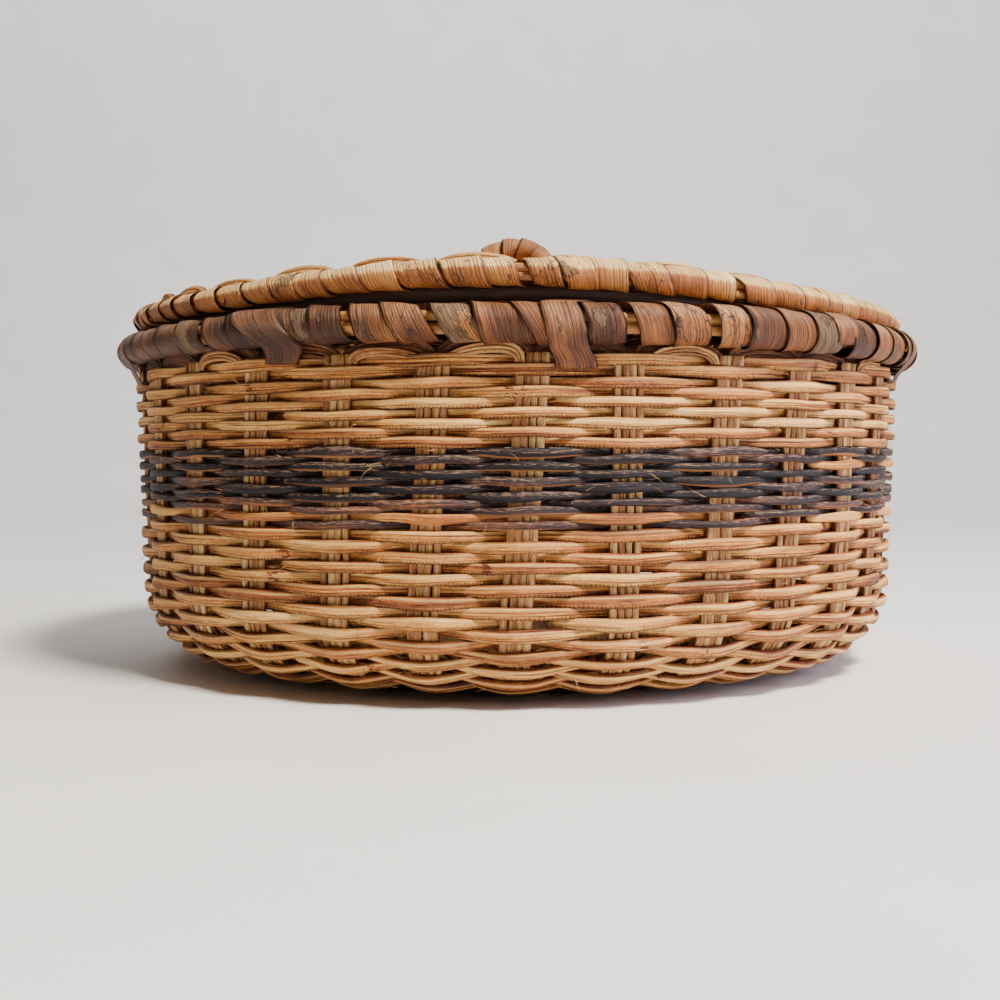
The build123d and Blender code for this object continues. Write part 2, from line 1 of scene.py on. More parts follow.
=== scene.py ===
# %% [markdown]
# # A covered basket woven from split cane
#
# The basket stands on 29 stakes, each a bundle of four flat reeds. Long split canes run round
# and round them, in front of one stake and behind the next. Both rims are bundles of round cane
# wrapped in strips of bark, and a lid with a small loop handle lifts straight off.
#
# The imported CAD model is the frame: it gives the sizes, the bodies and the joint. This script
# hides most of its plain ribbons behind pieces with the shape and finish of real cane.

# %% Load the frame
import functools
import math
import bmesh
import bpy
import numpy as np
from mathutils import Matrix, Vector


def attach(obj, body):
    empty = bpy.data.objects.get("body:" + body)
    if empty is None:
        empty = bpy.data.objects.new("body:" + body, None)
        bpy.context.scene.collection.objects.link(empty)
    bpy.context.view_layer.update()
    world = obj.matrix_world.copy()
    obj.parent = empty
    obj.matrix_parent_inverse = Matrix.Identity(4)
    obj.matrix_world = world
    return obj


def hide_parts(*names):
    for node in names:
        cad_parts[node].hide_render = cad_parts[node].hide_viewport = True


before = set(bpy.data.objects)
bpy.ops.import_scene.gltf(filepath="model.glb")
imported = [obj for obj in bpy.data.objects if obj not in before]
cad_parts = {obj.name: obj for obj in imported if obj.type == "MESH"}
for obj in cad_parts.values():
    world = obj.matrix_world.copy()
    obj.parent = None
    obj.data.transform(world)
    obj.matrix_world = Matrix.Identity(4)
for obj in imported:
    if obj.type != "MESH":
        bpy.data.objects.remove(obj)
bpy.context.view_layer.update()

scene = bpy.context.scene

# %% [markdown]
# ## Camera, floor and light
#
# The camera is at table level, a little under half a metre away, so the view is nearly flat and
# the near side of the weave is far larger than the far side. A lamp above gives the rims their
# bright upper faces, a cooler one on the right stands for a window, a warm dim one fills the left,
# and one behind the basket lights only the backdrop. The floor bends up into that backdrop, so no
# horizon cuts through the picture.

# %% Camera
camera_data = bpy.data.cameras.new("camera")
camera_data.lens = 51.0
camera_data.sensor_width = 36.0
camera_data.clip_start = 0.01
camera = bpy.data.objects.new("camera", camera_data)
camera.location = (-0.0049, -0.463, 0.0644)
camera.rotation_euler = (math.radians(90 - 1.82), 0, 0)
scene.collection.objects.link(camera)
scene.camera = camera


# %% Floor and backdrop
def sweep_backdrop(half_width, front, back, bend, top):
    """A sheet that lies flat, bends up in a quarter round and ends as a wall."""
    bm = bmesh.new()

    def only(made, kind):
        return [part for part in made if isinstance(part, kind)]

    def draw_out(edges, step):
        """Adds a face at each edge and returns the new points and edges."""
        made = bmesh.ops.extrude_edge_only(bm, edges=edges)["geom"]
        line = only(made, bmesh.types.BMVert)
        bmesh.ops.translate(bm, verts=line, vec=step)
        return line + only(made, bmesh.types.BMEdge)

    ends = [bm.verts.new((side * half_width, front, 0)) for side in (-1, 1)]
    line = draw_out([bm.edges.new(ends)], (0, back - bend - front, 0))
    turned = bmesh.ops.spin(bm, geom=line, cent=(0, back - bend, bend), axis=(1, 0, 0),
                            angle=math.radians(90), steps=16, use_merge=False)
    draw_out(only(turned["geom_last"], bmesh.types.BMEdge), (0, 0, top - bend))
    mesh = bpy.data.meshes.new("floor")
    bm.to_mesh(mesh)
    bm.free()
    for face in mesh.polygons:
        face.use_smooth = True
    return bpy.data.objects.new("floor", mesh)


floor = sweep_backdrop(half_width=3.0, front=-1.6, back=1.5, bend=0.5, top=2.2)
scene.collection.objects.link(floor)


# %% Lights
def soft_lamp(name, place, target, size, power, colour):
    lamp = bpy.data.lights.new(name, "AREA")
    lamp.shape = "RECTANGLE"
    lamp.size, lamp.size_y = size
    lamp.energy = power
    lamp.color = colour
    holder = bpy.data.objects.new(name, lamp)
    holder.location = place
    aim = Vector(target) - Vector(place)
    holder.rotation_euler = aim.to_track_quat("-Z", "Y").to_euler()
    scene.collection.objects.link(holder)


middle = (0, 0, 0.06)
soft_lamp("overhead", (0.38, -0.56, 0.96), middle, (0.26, 0.22), 28.5, (1.0, 0.92, 0.80))
soft_lamp("window", (1.0, -0.25, 0.42), middle, (0.4, 0.7), 11.0, (0.84, 0.80, 1.0))
soft_lamp("room", (-0.9, -0.8, 0.5), middle, (0.8, 0.6), 0.8, (1.0, 0.76, 0.50))
soft_lamp("backdrop", (0, 0.75, 1.5), (0, 1.5, 0.55), (2.4, 0.4), 22.0, (1.0, 1.0, 1.0))
world = bpy.data.worlds.new("room")
world.use_nodes = True
world.node_tree.nodes["Background"].inputs["Color"].default_value = (1.0, 0.89, 0.78, 1)
world.node_tree.nodes["Background"].inputs["Strength"].default_value = 0.09
scene.world = world

# %% [markdown]
# ## Sums on shader sockets
#
# A finish is mostly arithmetic: streaks plus blotches, times a mask. Wrapping a socket in a small
# class lets that be written as ordinary sums, and each sum adds its Math node.


# %% Values
class Value:
    """One output socket of a finish, which adds nodes when it is used in a sum."""

    def __init__(self, finish, socket):
        self.finish = finish
        self.socket = socket

    def __add__(self, other):
        return self.finish.math("ADD", self, other)

    def __sub__(self, other):
        return self.finish.math("SUBTRACT", self, other)

    def __mul__(self, other):
        return self.finish.math("MULTIPLY", self, other)

    def __rsub__(self, other):
        return self.finish.math("SUBTRACT", other, self)

    __radd__ = __add__
    __rmul__ = __mul__

    def between(self, low, high):
        """0 at low, 1 at high, and smooth between the two."""
        return self.finish.node("MapRange", {"interpolation_type": "SMOOTHSTEP"},
                                {"Value": self, "From Min": low, "From Max": high})

    def vary(self, *parts):
        """Adds (pattern, share) parts. A pattern adds nothing where it is a half."""
        total = self
        for pattern, share in parts:
            total = total + (pattern - 0.5) * share
        return total

    def mix(self, share, other, blend="MIX"):
        """Goes over into another colour. share is a mask from 0 to 1."""
        return self.finish.node("Mix", {"data_type": "RGBA", "blend_type": blend},
                                {0: share, 6: self, 7: other}, 2)

    def tint(self, share, other):
        return self.mix(share, other, "MULTIPLY")


# %% Finishes
class Finish:
    """A material whose nodes are added by name and by sums."""

    def __init__(self, name, roughness, specular=0.5):
        self.material = bpy.data.materials.new(name)
        self.material.use_nodes = True
        self.nodes = self.material.node_tree.nodes
        self.links = self.material.node_tree.links
        self.shader = self.nodes["Principled BSDF"]
        self.shader.inputs["Roughness"].default_value = roughness
        self.shader.inputs["Specular IOR Level"].default_value = specular

    def node(self, kind, settings=None, values=None, out=0):
        added = self.nodes.new("ShaderNode" + kind)
        for key, value in (settings or {}).items():
            setattr(added, key, value)
        for key, value in (values or {}).items():
            self.give(added.inputs[key], value)
        return Value(self, added.outputs[out])

    def give(self, socket, value):
        if isinstance(value, Value):
            self.links.new(value.socket, socket)
        elif isinstance(value, tuple) and len(value) == 3 and socket.type == "RGBA":
            socket.default_value = (*value, 1)
        else:
            socket.default_value = value

    def math(self, operation, first, second=0.0):
        return self.node("Math", {"operation": operation}, {0: first, 1: second})

    def ramp(self, value, *stops):
        """stops are (place, colour) pairs; a colour may be one grey number."""
        colours = self.node("ValToRGB", None, {0: value})
        line = colours.socket.node.color_ramp
        while len(line.elements) < len(stops):
            line.elements.new(0.5)
        for element, (place, colour) in zip(line.elements, stops):
            element.position = place
            grey = (colour,) * 3 if isinstance(colour, (int, float)) else colour
            element.color = (*grey, 1)
        return colours

    def vector(self, x, y, z):
        return self.node("CombineXYZ", None, {0: x, 1: y, 2: z})

    def noise(self, vector, detail=2.0, rough=0.5, scale=1.0):
        return self.node("TexNoise", None, {
            "Vector": vector, "Scale": scale, "Detail": detail, "Roughness": rough})

    def parts(self, kind, value):
        """The three parts of a vector or a colour."""
        split = self.node(kind, None, {0: value}).socket.node
        return [Value(self, socket) for socket in split.outputs]

    def place(self):
        return self.parts("SeparateXYZ", self.node("TexCoord", out=3))

    def strip(self, tone_share, luck_share):
        """Reads a strip's own map, in millimetres, and returns its traits (see lay_piece).

        The two shares say how far tone and luck shift the patterns, so that no two strips match.
        """
        lay = self.node("UVMap", {"uv_map": "lay"})
        self.along, self.across, _ = self.parts("SeparateXYZ", lay)
        found = self.node("Attribute", {"attribute_name": "traits"})
        tone, side, luck = self.parts("SeparateColor", found)
        self.shift = tone * tone_share + luck * luck_share
        return tone, side, luck, Value(self, found.socket.node.outputs["Alpha"])

    def streaks(self, along, across, detail=2.0, rough=0.5, offset=0.0):
        """Noise on a strip's map. The smaller its scale along, the longer its streaks."""
        place = self.vector(self.along * along, self.across * across, self.shift + offset)
        return self.noise(place, detail, rough)

    def bump(self, height, distance):
        found = self.node("Bump", None, {"Height": height, "Distance": distance})
        self.give(self.shader.inputs["Normal"], found)

    def colour(self, value):
        self.give(self.shader.inputs["Base Color"], value)

    def rough(self, value):
        self.give(self.shader.inputs["Roughness"], value)


# %% Paper of the floor
paper = Finish("pale_paper", 0.85, 0.2)
grain = paper.noise(paper.node("TexCoord", out=3), 3.0, scale=18.0)
paper.colour(paper.ramp(grain, (0.3, (0.80, 0.80, 0.80)), (0.7, (0.84, 0.84, 0.84))))
floor.data.materials.append(paper.material)

# %% [markdown]
# ## Finishes of cane, reed and bark
#
# Split cane keeps the pale, slightly glossy skin of the vine on one face. Its fibres show as fine
# streaks along the length, its colour drifts from straw to honey and red-brown, and the sawn
# lower edge is furry, with a row of tiny dark teeth. All patterns are laid on the strip's own
# map, so they bend with it.


# %% Natural cane
def cane_finish(name, tones, edge, skin=0.48):
    """Split cane. tones is its ramp from the reddest canes to the palest, edge its sawn edge."""
    f = Finish(name, skin, 0.35)
    tone, side, luck, knot = f.strip(37.0, 11.0)
    drift = f.streaks(0.016, 0.12)
    line = f.streaks(0.015, 1.15, 2.0, 0.6)
    fibre = f.streaks(0.16, 2.4, 3.0, 0.7)
    grain = f.streaks(1.1, 1.6, 3.0, 0.7)
    patch = f.streaks(0.10, 0.5, 3.0, 0.6, offset=2.0)
    shade = tone.vary((drift, 1.0), (line, 1.2), (fibre, 0.9), (grain, 0.6), (patch, 0.6))
    # painted highlight: the upper shoulder of a cane is made paler, as if lit from above
    top_highlight = side.between(0.62, 0.76) * side.between(0.95, 0.84)
    colour = f.ramp(shade, *tones).mix(top_highlight * 0.4, (0.90, 0.60, 0.25))
    # thin dark threads, the furry sawn edge with its teeth, and painted shade in the crease above
    # it
    thread = line.vary((fibre, 0.25)).between(0.42, 0.36)
    colour = colour.tint(thread * 0.42, (0.36, 0.17, 0.08))
    saw = f.math("SINE", f.along * 6.0 + grain * 7.0) * 0.4 + grain * 0.6 + 0.2
    sawn = (side + saw * 0.08).vary((grain, 0.16)).between(0.28, 0.18)
    furry = luck.between(0.10, 0.75) * 0.5 + 0.25
    colour = colour.mix(sawn * furry, f.ramp(saw, (0.0, edge), (1.0, (0.50, 0.22, 0.06))))
    crease = f.math("ABSOLUTE", side - 0.33).between(0.05, 0.015)
    colour = colour.tint(crease * 0.5, (0.30, 0.13, 0.06))
    # the two edges lie in the shade of the next rows
    colour = colour.tint(side.between(0.88, 0.98) * 0.8, (0.26, 0.12, 0.06))
    colour = colour.tint(side.between(0.14, 0.03) * 0.85, (0.20, 0.09, 0.05))
    split = f.streaks(0.016, 1.1, 1.0, offset=5.0).between(0.60, 0.66)
    colour = colour.tint(split * 0.5, (0.30, 0.14, 0.07))
    speck = (f.streaks(0.35, 1.1, 3.0, 0.7) + knot * 0.2).between(0.68, 0.76)
    f.colour(colour.tint(speck, (0.28, 0.12, 0.06)))
    f.rough(skin - 0.1 + line * 0.2 + fibre * 0.2 + sawn * 0.25)
    f.bump(fibre * 0.6 + line * 1.2 + grain * 0.3 - split - sawn * (1.0 - saw) * 1.2
           - crease * 0.8, 0.00045)
    return f.material


natural_tones = (
    (0.02, (0.10, 0.022, 0.006)), (0.25, (0.29, 0.080, 0.016)), (0.48, (0.52, 0.19, 0.038)),
    (0.72, (0.72, 0.355, 0.088)), (1.0, (0.88, 0.58, 0.22)))
weaver_cane = cane_finish("weaver_cane", natural_tones, (0.13, 0.042, 0.013))


# %% Dyed cane
def dyed_finish():
    """Cane dyed on its skin only, so its sawn edge stays pale. Tones over 0.8 are undyed canes."""
    f = Finish("dark_cane", 0.5, 0.26)
    tone, side, luck, _ = f.strip(37.0, 11.0)
    drift = f.streaks(0.02, 0.15)
    line = f.streaks(0.03, 1.9, 2.0, 0.6)
    grain = f.streaks(0.45, 4.0, 3.0, 0.7)
    colour = f.ramp(
        tone.vary((drift, 1.1), (line, 0.9), (grain, 0.5)),
        (0.08, (0.004, 0.003, 0.005)), (0.34, (0.013, 0.008, 0.012)),
        (0.50, (0.045, 0.022, 0.024)), (0.64, (0.14, 0.050, 0.022)),
        (0.78, (0.38, 0.12, 0.024)), (1.0, (0.70, 0.34, 0.09)))
    crest = side.between(0.45, 0.7) * side.between(0.99, 0.85)
    worn = (grain + crest * 0.14).vary((drift, 0.4)).between(0.60, 0.76)
    pale = side.vary((drift, 0.5)).between(0.24, 0.12) * luck.between(0.3, 0.9)
    colour = colour.mix(worn * 0.48, (0.44, 0.28, 0.18))
    f.colour(colour.mix(pale * 0.65, (0.40, 0.15, 0.04)))
    f.rough(0.38 + line * 0.2 + grain * 0.15 + worn * 0.2)
    f.bump(line * 1.1 + grain * 0.4, 0.0004)
    return f.material


dark_cane = dyed_finish()


# %% Reed of the stakes
def reed_finish():
    """Flat reed, darker along its two edges, where painted shade stands for the slits between
    reeds.
    """
    f = Finish("stake_reed", 0.62)
    tone, side, _, _ = f.strip(41.0, 7.0)
    drift = f.streaks(0.04, 0.2)
    line = f.streaks(0.03, 1.5, 2.0, 0.6)
    fibre = f.streaks(0.5, 2.8, 3.0, 0.7)
    shade = (tone * 0.5 + 0.25).vary((drift, 0.7), (line, 0.9), (fibre, 0.9))
    colour = f.ramp(shade, (0.0, (0.085, 0.022, 0.007)), (0.32, (0.34, 0.125, 0.035)),
                    (0.58, (0.56, 0.275, 0.085)), (0.9, (0.80, 0.53, 0.22)))
    # painted shade in the slits between the reeds
    gap = f.math("ABSOLUTE", side - 0.5).between(0.42, 0.49)
    f.colour(colour.tint(gap * 0.9, (0.14, 0.05, 0.02)))
    f.bump(line * 1.2 + fibre * 0.7, 0.0005)
    return f.material


stake_reed = reed_finish()


# %% Strips of bark
BARK_STEPS = (0.05, 0.35, 0.60, 0.90)


def bark_finish(name, low, top, fold, cracks, lichen, gloss):
    """Bark laid in turns. low is its ramp in painted shade, top its ramp painted lit from above.

    fold says at what heights one ramp goes over into the other, cracks and lichen are the shares
    of the turns that have them, and gloss is the roughness.
    """
    f = Finish(name, gloss, 0.35)
    tone, height, luck, end = f.strip(0.0, 170.0)
    drift = f.streaks(0.06, 0.10)
    groove = f.streaks(0.025, 1.35, 2.0, 0.6)
    fibre = f.streaks(0.20, 2.6, 3.0, 0.7)
    shade = tone.vary((drift, 0.9), (groove, 0.5), (fibre, 1.1))
    # painted light: a turn's upper part takes the top ramp, its lower part the low one
    rise = height.vary((drift, 0.12), (groove, 0.15)).between(*fold)
    colour = f.ramp(shade, *zip(BARK_STEPS, low)).mix(rise, f.ramp(shade, *zip(BARK_STEPS, top)))
    # fine ribs along the strip, then its dark edges, and painted shade on its underside
    waver = f.streaks(0.015, 0.35, 1.0, offset=4.0)
    rib = f.math("SINE", f.across * 7.6 + waver * 14.0)
    line = rib.vary((fibre, 1.2)).between(0.50, 0.95) * waver.between(0.36, 0.52)
    colour = colour.tint(line * 0.55, (0.34, 0.17, 0.09))
    rim = f.math("ABSOLUTE", end - 0.5).between(0.45, 0.495)
    colour = colour.tint(rim * 0.85, (0.16, 0.08, 0.05))
    colour = colour.tint(height.between(0.0, -0.4) * 0.7, (0.22, 0.12, 0.08))
    # cracks follow the edges of bent cells
    bend = f.streaks(0.25, 0.25, 3.0)
    cells = f.node("TexVoronoi", {"feature": "DISTANCE_TO_EDGE"}, {
        "Vector": f.vector(f.along * 0.05 + bend * 0.5, f.across * 0.075 + bend * 0.6, f.shift)})
    crack = cells.between(0.020, 0.006) * luck.between(1.0 - cracks, 1.02 - cracks)
    colour = colour.mix(crack * 0.9, (0.022, 0.009, 0.006))
    # patches of grey lichen with a dark rind, and dark spots
    patch = f.streaks(0.11, 0.14, 4.0, 0.65, offset=9.0)
    edge = patch + luck.between(1.0 - lichen, 1.0) * (0.17 if lichen else 0.0)
    grey = edge.between(0.655, 0.67)
    rind = edge.between(0.635, 0.655) * (1.0 - grey)
    crust = f.ramp(fibre, (0.3, (0.065, 0.036, 0.018)), (0.7, (0.25, 0.165, 0.10)))
    colour = colour.mix(grey * 0.8, crust).mix(rind * 0.8, (0.03, 0.014, 0.01))
    spot = f.streaks(0.6, 0.6, 3.0, 0.7, offset=3.0).between(0.69, 0.73)
    f.colour(colour.tint(spot * 0.8, (0.22, 0.10, 0.06)))
    f.rough(gloss - 0.1 + groove * 0.2 + fibre * 0.15 + grey * 0.35)
    f.bump(groove + fibre * 0.6 - line * 0.9 - crack * 1.8 + grey * 0.8 + bend * 0.4, 0.0006)
    return f.material


# in each bark, the first ramp is painted shade under a turn, the second painted light on top
bark_strip = bark_finish(
    "bark_strip",
    ((0.022, 0.007, 0.003), (0.095, 0.028, 0.008), (0.235, 0.076, 0.018), (0.48, 0.21, 0.055)),
    ((0.050, 0.021, 0.011), (0.165, 0.066, 0.028), (0.34, 0.155, 0.065), (0.60, 0.35, 0.165)),
    fold=(0.50, 0.90), cracks=0.45, lichen=0.30, gloss=0.46)
pale_bark_strip = bark_finish(
    "pale_bark_strip",
    ((0.10, 0.024, 0.006), (0.28, 0.088, 0.018), (0.48, 0.175, 0.038), (0.66, 0.32, 0.09)),
    ((0.36, 0.155, 0.045), (0.60, 0.34, 0.115), (0.78, 0.52, 0.21), (0.90, 0.68, 0.34)),
    fold=(0.56, 0.70), cracks=0.20, lichen=0.0, gloss=0.42)
handle_strip = bark_finish(
    "handle_strip",
    ((0.15, 0.052, 0.016), (0.22, 0.085, 0.026), (0.30, 0.125, 0.040), (0.40, 0.185, 0.065)),
    ((0.20, 0.078, 0.026), (0.29, 0.125, 0.042), (0.39, 0.185, 0.068), (0.50, 0.27, 0.11)),
    fold=(0.4, 0.9), cracks=0.0, lichen=0.0, gloss=0.5)


# %% Finishes for the CAD pieces that stay
def ring_finish(name, tones, gloss):
    """Cane bent into a ring: its streaks run round the basket's axis."""
    f = Finish(name, gloss)
    x, y, z = f.place()
    radius = f.math("SQRT", x * x + y * y)
    turn = f.math("ARCTAN2", y, x)
    streak = f.noise(f.vector(turn * 3.0, radius * 2600.0, z * 2600.0), 3.0, 0.6)
    drift = f.noise(f.vector(turn * 2.0, radius * 80.0, z * 80.0))
    f.colour(f.ramp(((streak - 0.5) * 0.9 + 0.5).vary((drift, 0.7)), *tones))
    f.rough(gloss - 0.05 + streak * 0.2)
    f.bump(streak, 0.0003)
    return f.material


def slat_finish(name, tones, lengthwise):
    """Flat split cane of the centre mats, with its grain along X or along Y."""
    f = Finish(name, 0.55)
    x, y, _ = f.place()
    along, across = (x, y) if lengthwise == "X" else (y, x)
    streak = f.noise(f.vector(along * 30.0, across * 2200.0, 0.0), 3.0, 0.6)
    slat = f.noise(f.vector(along * 6.0, across * 130.0, 4.0), 0.0)
    f.colour(f.ramp(((streak - 0.5) * 0.8 + 0.55).vary((slat, 0.9)), *tones))
    f.bump(streak, 0.0003)
    return f.material


peeled_tones = ((0.2, (0.20, 0.065, 0.016)), (0.5, (0.46, 0.19, 0.048)),
                (0.8, (0.72, 0.40, 0.13)))
# the hoops lie out of the light: their nearly black tones are painted shade on brown cane
hoop_shade_tones = ((0.2, (0.010, 0.004, 0.002)), (0.5, (0.042, 0.015, 0.006)),
              (0.8, (0.15, 0.056, 0.020)))
finish_of = {
    "weaver_cane": weaver_cane, "dark_cane": dark_cane, "stake_reed": stake_reed,
    "bark_strip": bark_strip, "pale_bark_strip": pale_bark_strip, "handle_strip": handle_strip,
    "peeled_cane": ring_finish("peeled_cane", peeled_tones, 0.45),
    "hoop_cane": ring_finish("hoop_cane", hoop_shade_tones, 0.5),
}
for name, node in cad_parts.items():
    lengthwise = "Y" if name.endswith("over") else "X"
    if "slats" in name:
        chosen = slat_finish("slats_" + name, natural_tones, lengthwise)
    elif "hoop" in name:
        chosen = finish_of["hoop_cane"]
    else:
        chosen = finish_of["peeled_cane"]
    node.data.materials.clear()
    node.data.materials.append(chosen)
print("materials", len(bpy.data.materials))

# %% [markdown]
# ## Straight bars that are bent into place
#
# Every cane is the same thing: a bar with a small section that follows a path. A bar is a flat
# grid that is rolled up along X, has its two long edges merged and its ends filled. Its points
# are then moved to where the weave needs them, which keeps the faces even and the seams closed.
# A spin could draw the bar out too, but over thousands of steps it is far slower.


# %% Bars
LANE = 4.0
MM = 0.001


def read_points(mesh):
    places = np.zeros(len(mesh.vertices) * 3)
    mesh.vertices.foreach_get("co", places)
    return places.reshape(-1, 3)


@functools.cache
class Bars:
    """Straight bars, and for each of their points the bar, the share of its length and the turn.

    Bars of the same numbers are made only once.
    """

    def __init__(self, count, sides, steps):
        bm = bmesh.new()
        for number in range(count):
            bmesh.ops.create_grid(bm, x_segments=steps, y_segments=sides, size=1.0,
                                  matrix=Matrix.Translation((0, LANE * number, 0)))
        self.mesh = bpy.data.meshes.new("bars")
        bm.to_mesh(self.mesh)
        bm.free()
        x, y, _ = read_points(self.mesh).T
        lane = LANE * np.rint(y / LANE)
        turn = (y - lane) * np.pi
        rolled = np.column_stack([(x + 1) * steps / 2, lane + np.cos(turn), np.sin(turn)])
        self.mesh.vertices.foreach_set("co", rolled.ravel())
        bm = bmesh.new()
        bm.from_mesh(self.mesh)
        bmesh.ops.remove_doubles(bm, verts=bm.verts[:], dist=0.001)
        rims = [e for e in bm.edges if e.is_boundary]
        bmesh.ops.holes_fill(bm, edges=rims, sides=sides)
        bmesh.ops.recalc_face_normals(bm, faces=bm.faces[:])
        bm.to_mesh(self.mesh)
        bm.free()
        x, y, z = read_points(self.mesh).T
        self.bar = np.rint(y / LANE).astype(int)
        self.share = x / steps
        self.turn = np.arctan2(z, y - LANE * self.bar)
        self.count = count

    def pick(self, values):
        """One value for each bar, spread over its points."""
        return np.asarray(values)[self.bar]

    def draw(self, rng, low, high):
        """One random value for each bar, spread over its points."""
        return self.pick(rng.uniform(low, high, self.count))


# %% Random values and drifts
def near(rng, mean, spread, low, high, size):
    """Random values that crowd round a mean, between two limits."""
    return np.clip(rng.normal(mean, spread, size), low, high)


def wander(bars, place, waves, rng):
    """A slow drift between about -1 and 1 along each bar. place is in millimetres."""
    total = np.zeros_like(place)
    for wave in waves:
        phase = bars.draw(rng, 0, 2 * np.pi)
        total += np.sin(2 * np.pi * place / (wave * bars.draw(rng, 0.8, 1.25)) + phase)
    return total / math.sqrt(len(waves))


# %% Sections of a bar
def split_cane(turn):
    """Outward and across, each from -1 to 1: a nearly flat skin and a slanting sawn lower edge."""
    sine = np.sin(turn)
    up = np.sign(sine) * np.abs(sine) ** 0.75
    skin = 1 - 0.62 * up ** 2
    skin = np.where(up > 0.93, 0.15, np.where(up < -0.93, -0.1, skin))
    return np.where(np.cos(turn) > 0, skin, 0.5 * up ** 4 - 1), up


def soft_box(turn):
    """A flat reed with rounded corners."""
    cosine, sine = np.cos(turn), np.sin(turn)
    return np.sign(cosine) * np.abs(cosine) ** 0.45, np.sign(sine) * np.abs(sine) ** 0.45


def thin_strip(turn):
    """A strip of bark: flat, with its points spread evenly from edge to edge."""
    return np.clip(3 * np.sin(turn), -1, 1), 1 - 2 * np.abs(turn) / np.pi


def rolled(out, up, roll):
    """A point of a section, turned by roll radians."""
    return out * np.cos(roll) - up * np.sin(roll), out * np.sin(roll) + up * np.cos(roll)


# %% Places
def beside(line, outward, upward):
    """Points beside a line. line holds its points and the two directions across it."""
    centre, out, up = line
    return centre + out * outward[:, None] + up * upward[:, None]


def around(radius, angle, height, sideways=0.0):
    """Points round the basket's axis. The angle is counted from the near side to the right."""
    sine, cosine = np.sin(angle), np.cos(angle)
    return np.column_stack([radius * sine + sideways * cosine,
                            sideways * sine - radius * cosine, height + np.zeros_like(sine)])


# %% From points to a piece
def lay_piece(name, bars, places, along, across, traits, slot, body, nodes):
    """Moves the bars' points to places (millimetres), settles a lid piece and makes the piece.

    traits are tone, side, luck and a fourth: the piece's own shade, its place from the lower edge
    (0) to the upper one (1), and a second random number. The fourth is how near a knot is on a
    cane, and the place from edge to edge on a strip of bark, whose side goes from the inner or
    lower part of a turn to its upper part.
    """
    places = settle(places) if body == "lid" else places
    mesh = bars.mesh.copy()
    mesh.name = name
    mesh.vertices.foreach_set("co", (places * MM).ravel())
    corners = np.zeros(len(mesh.loops), dtype=int)
    mesh.loops.foreach_get("vertex_index", corners)
    lay = mesh.uv_layers.new(name="lay")
    lay.data.foreach_set("uv", np.column_stack([along, across])[corners].ravel())
    carried = mesh.attributes.new("traits", "FLOAT_COLOR", "POINT")
    shape = np.column_stack([np.broadcast_to(trait, along.shape) for trait in traits])
    carried.data.foreach_set("color", shape.ravel())
    bm = bmesh.new()
    bm.from_mesh(mesh)
    bmesh.ops.recalc_face_normals(bm, faces=bm.faces[:])
    bm.to_mesh(mesh)
    bm.free()
    mesh.polygons.foreach_set("use_smooth", np.ones(len(mesh.polygons), dtype=bool))
    mesh.materials.append(finish_of[slot])
    piece = bpy.data.objects.new(name, mesh)
    scene.collection.objects.link(piece)
    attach(piece, body)
    if nodes:
        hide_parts(*nodes)
    print(name, "triangles", sum(len(p.vertices) - 2 for p in mesh.polygons))
    return piece


# %% [markdown]
# ## The two woven shells
#
# The weave follows one curved sheet: flat in the middle of the bottom, then a bend, then the
# wall. The lid has the same sheet, bent down instead of up. It is worn and warped: its near edge
# stands a few millimetres off the rim below, which it touches at the sides. A place on a sheet is
# a distance from the axis, measured along it.

# %% Shells
STAKES = 29
GAP = 2 * math.pi / STAKES
FIRST_STAKE = math.radians(0.4)
SWING = 1.95
WALL_TURN = math.radians(88.1)
LID_TILT = math.radians(0.6)
LID_RIM_RADIUS, LID_RIM_HEIGHT = 116.4, 107.8
WARP_ANGLE = math.radians(55)
NEAR_SAG, FAR_SAG, RIGHT_SAG = 3.9, 1.45, 0.6


class Shell:
    """A flat middle, a bend and a straight wall, all round the axis. rise is 1 up or -1 down."""

    def __init__(self, height, flat, bend, turn, rise):
        self.height, self.flat, self.bend, self.turn, self.rise = height, flat, bend, turn, rise
        self.straight_from = flat + bend * turn

    def at(self, place):
        """Radius, height and slope angle."""
        slope = np.clip((place - self.flat) / self.bend, 0, self.turn)
        beyond = np.maximum(place - self.straight_from, 0)
        radius = np.minimum(place, self.flat) + self.bend * np.sin(slope)
        radius = radius + beyond * math.cos(self.turn)
        drop = self.bend * (1 - np.cos(slope)) + beyond * math.sin(self.turn)
        return radius, self.height + self.rise * drop, slope

    def point(self, place, angle, outward=0.0, sideways=0.0):
        radius, height, slope = self.at(place)
        radius = radius + outward * np.sin(slope)
        height = height - self.rise * outward * np.cos(slope)
        return around(radius, angle, height, sideways)

    def to_height(self, height):
        reached = float(self.at(self.straight_from)[1])
        return self.straight_from + self.rise * (height - reached) / math.sin(self.turn)


# %% How the lid settles
def settle(points):
    """The lid's lean about the middle of its rim, and its warp: it touches down at the sides."""
    x, y, z = points[:, 0], points[:, 1], points[:, 2] - LID_RIM_HEIGHT
    y, z = (y * math.cos(LID_TILT) + z * math.sin(LID_TILT),
            LID_RIM_HEIGHT + z * math.cos(LID_TILT) - y * math.sin(LID_TILT))
    side = np.abs(np.arctan2(x, -y))
    front = NEAR_SAG * np.sin(np.pi / 2 * np.minimum(side / WARP_ANGLE, 1)) ** 2
    back = FAR_SAG * (1 + np.cos(np.pi * (side - WARP_ANGLE) / (np.pi - WARP_ANGLE)))
    back = back + NEAR_SAG - 2 * FAR_SAG
    sag = np.where(side < WARP_ANGLE, front, back) + RIGHT_SAG * x / LID_RIM_RADIUS
    reach = np.minimum(np.hypot(x, y) / LID_RIM_RADIUS, 1.04)
    return np.column_stack([x, y, z - sag * reach ** 3])


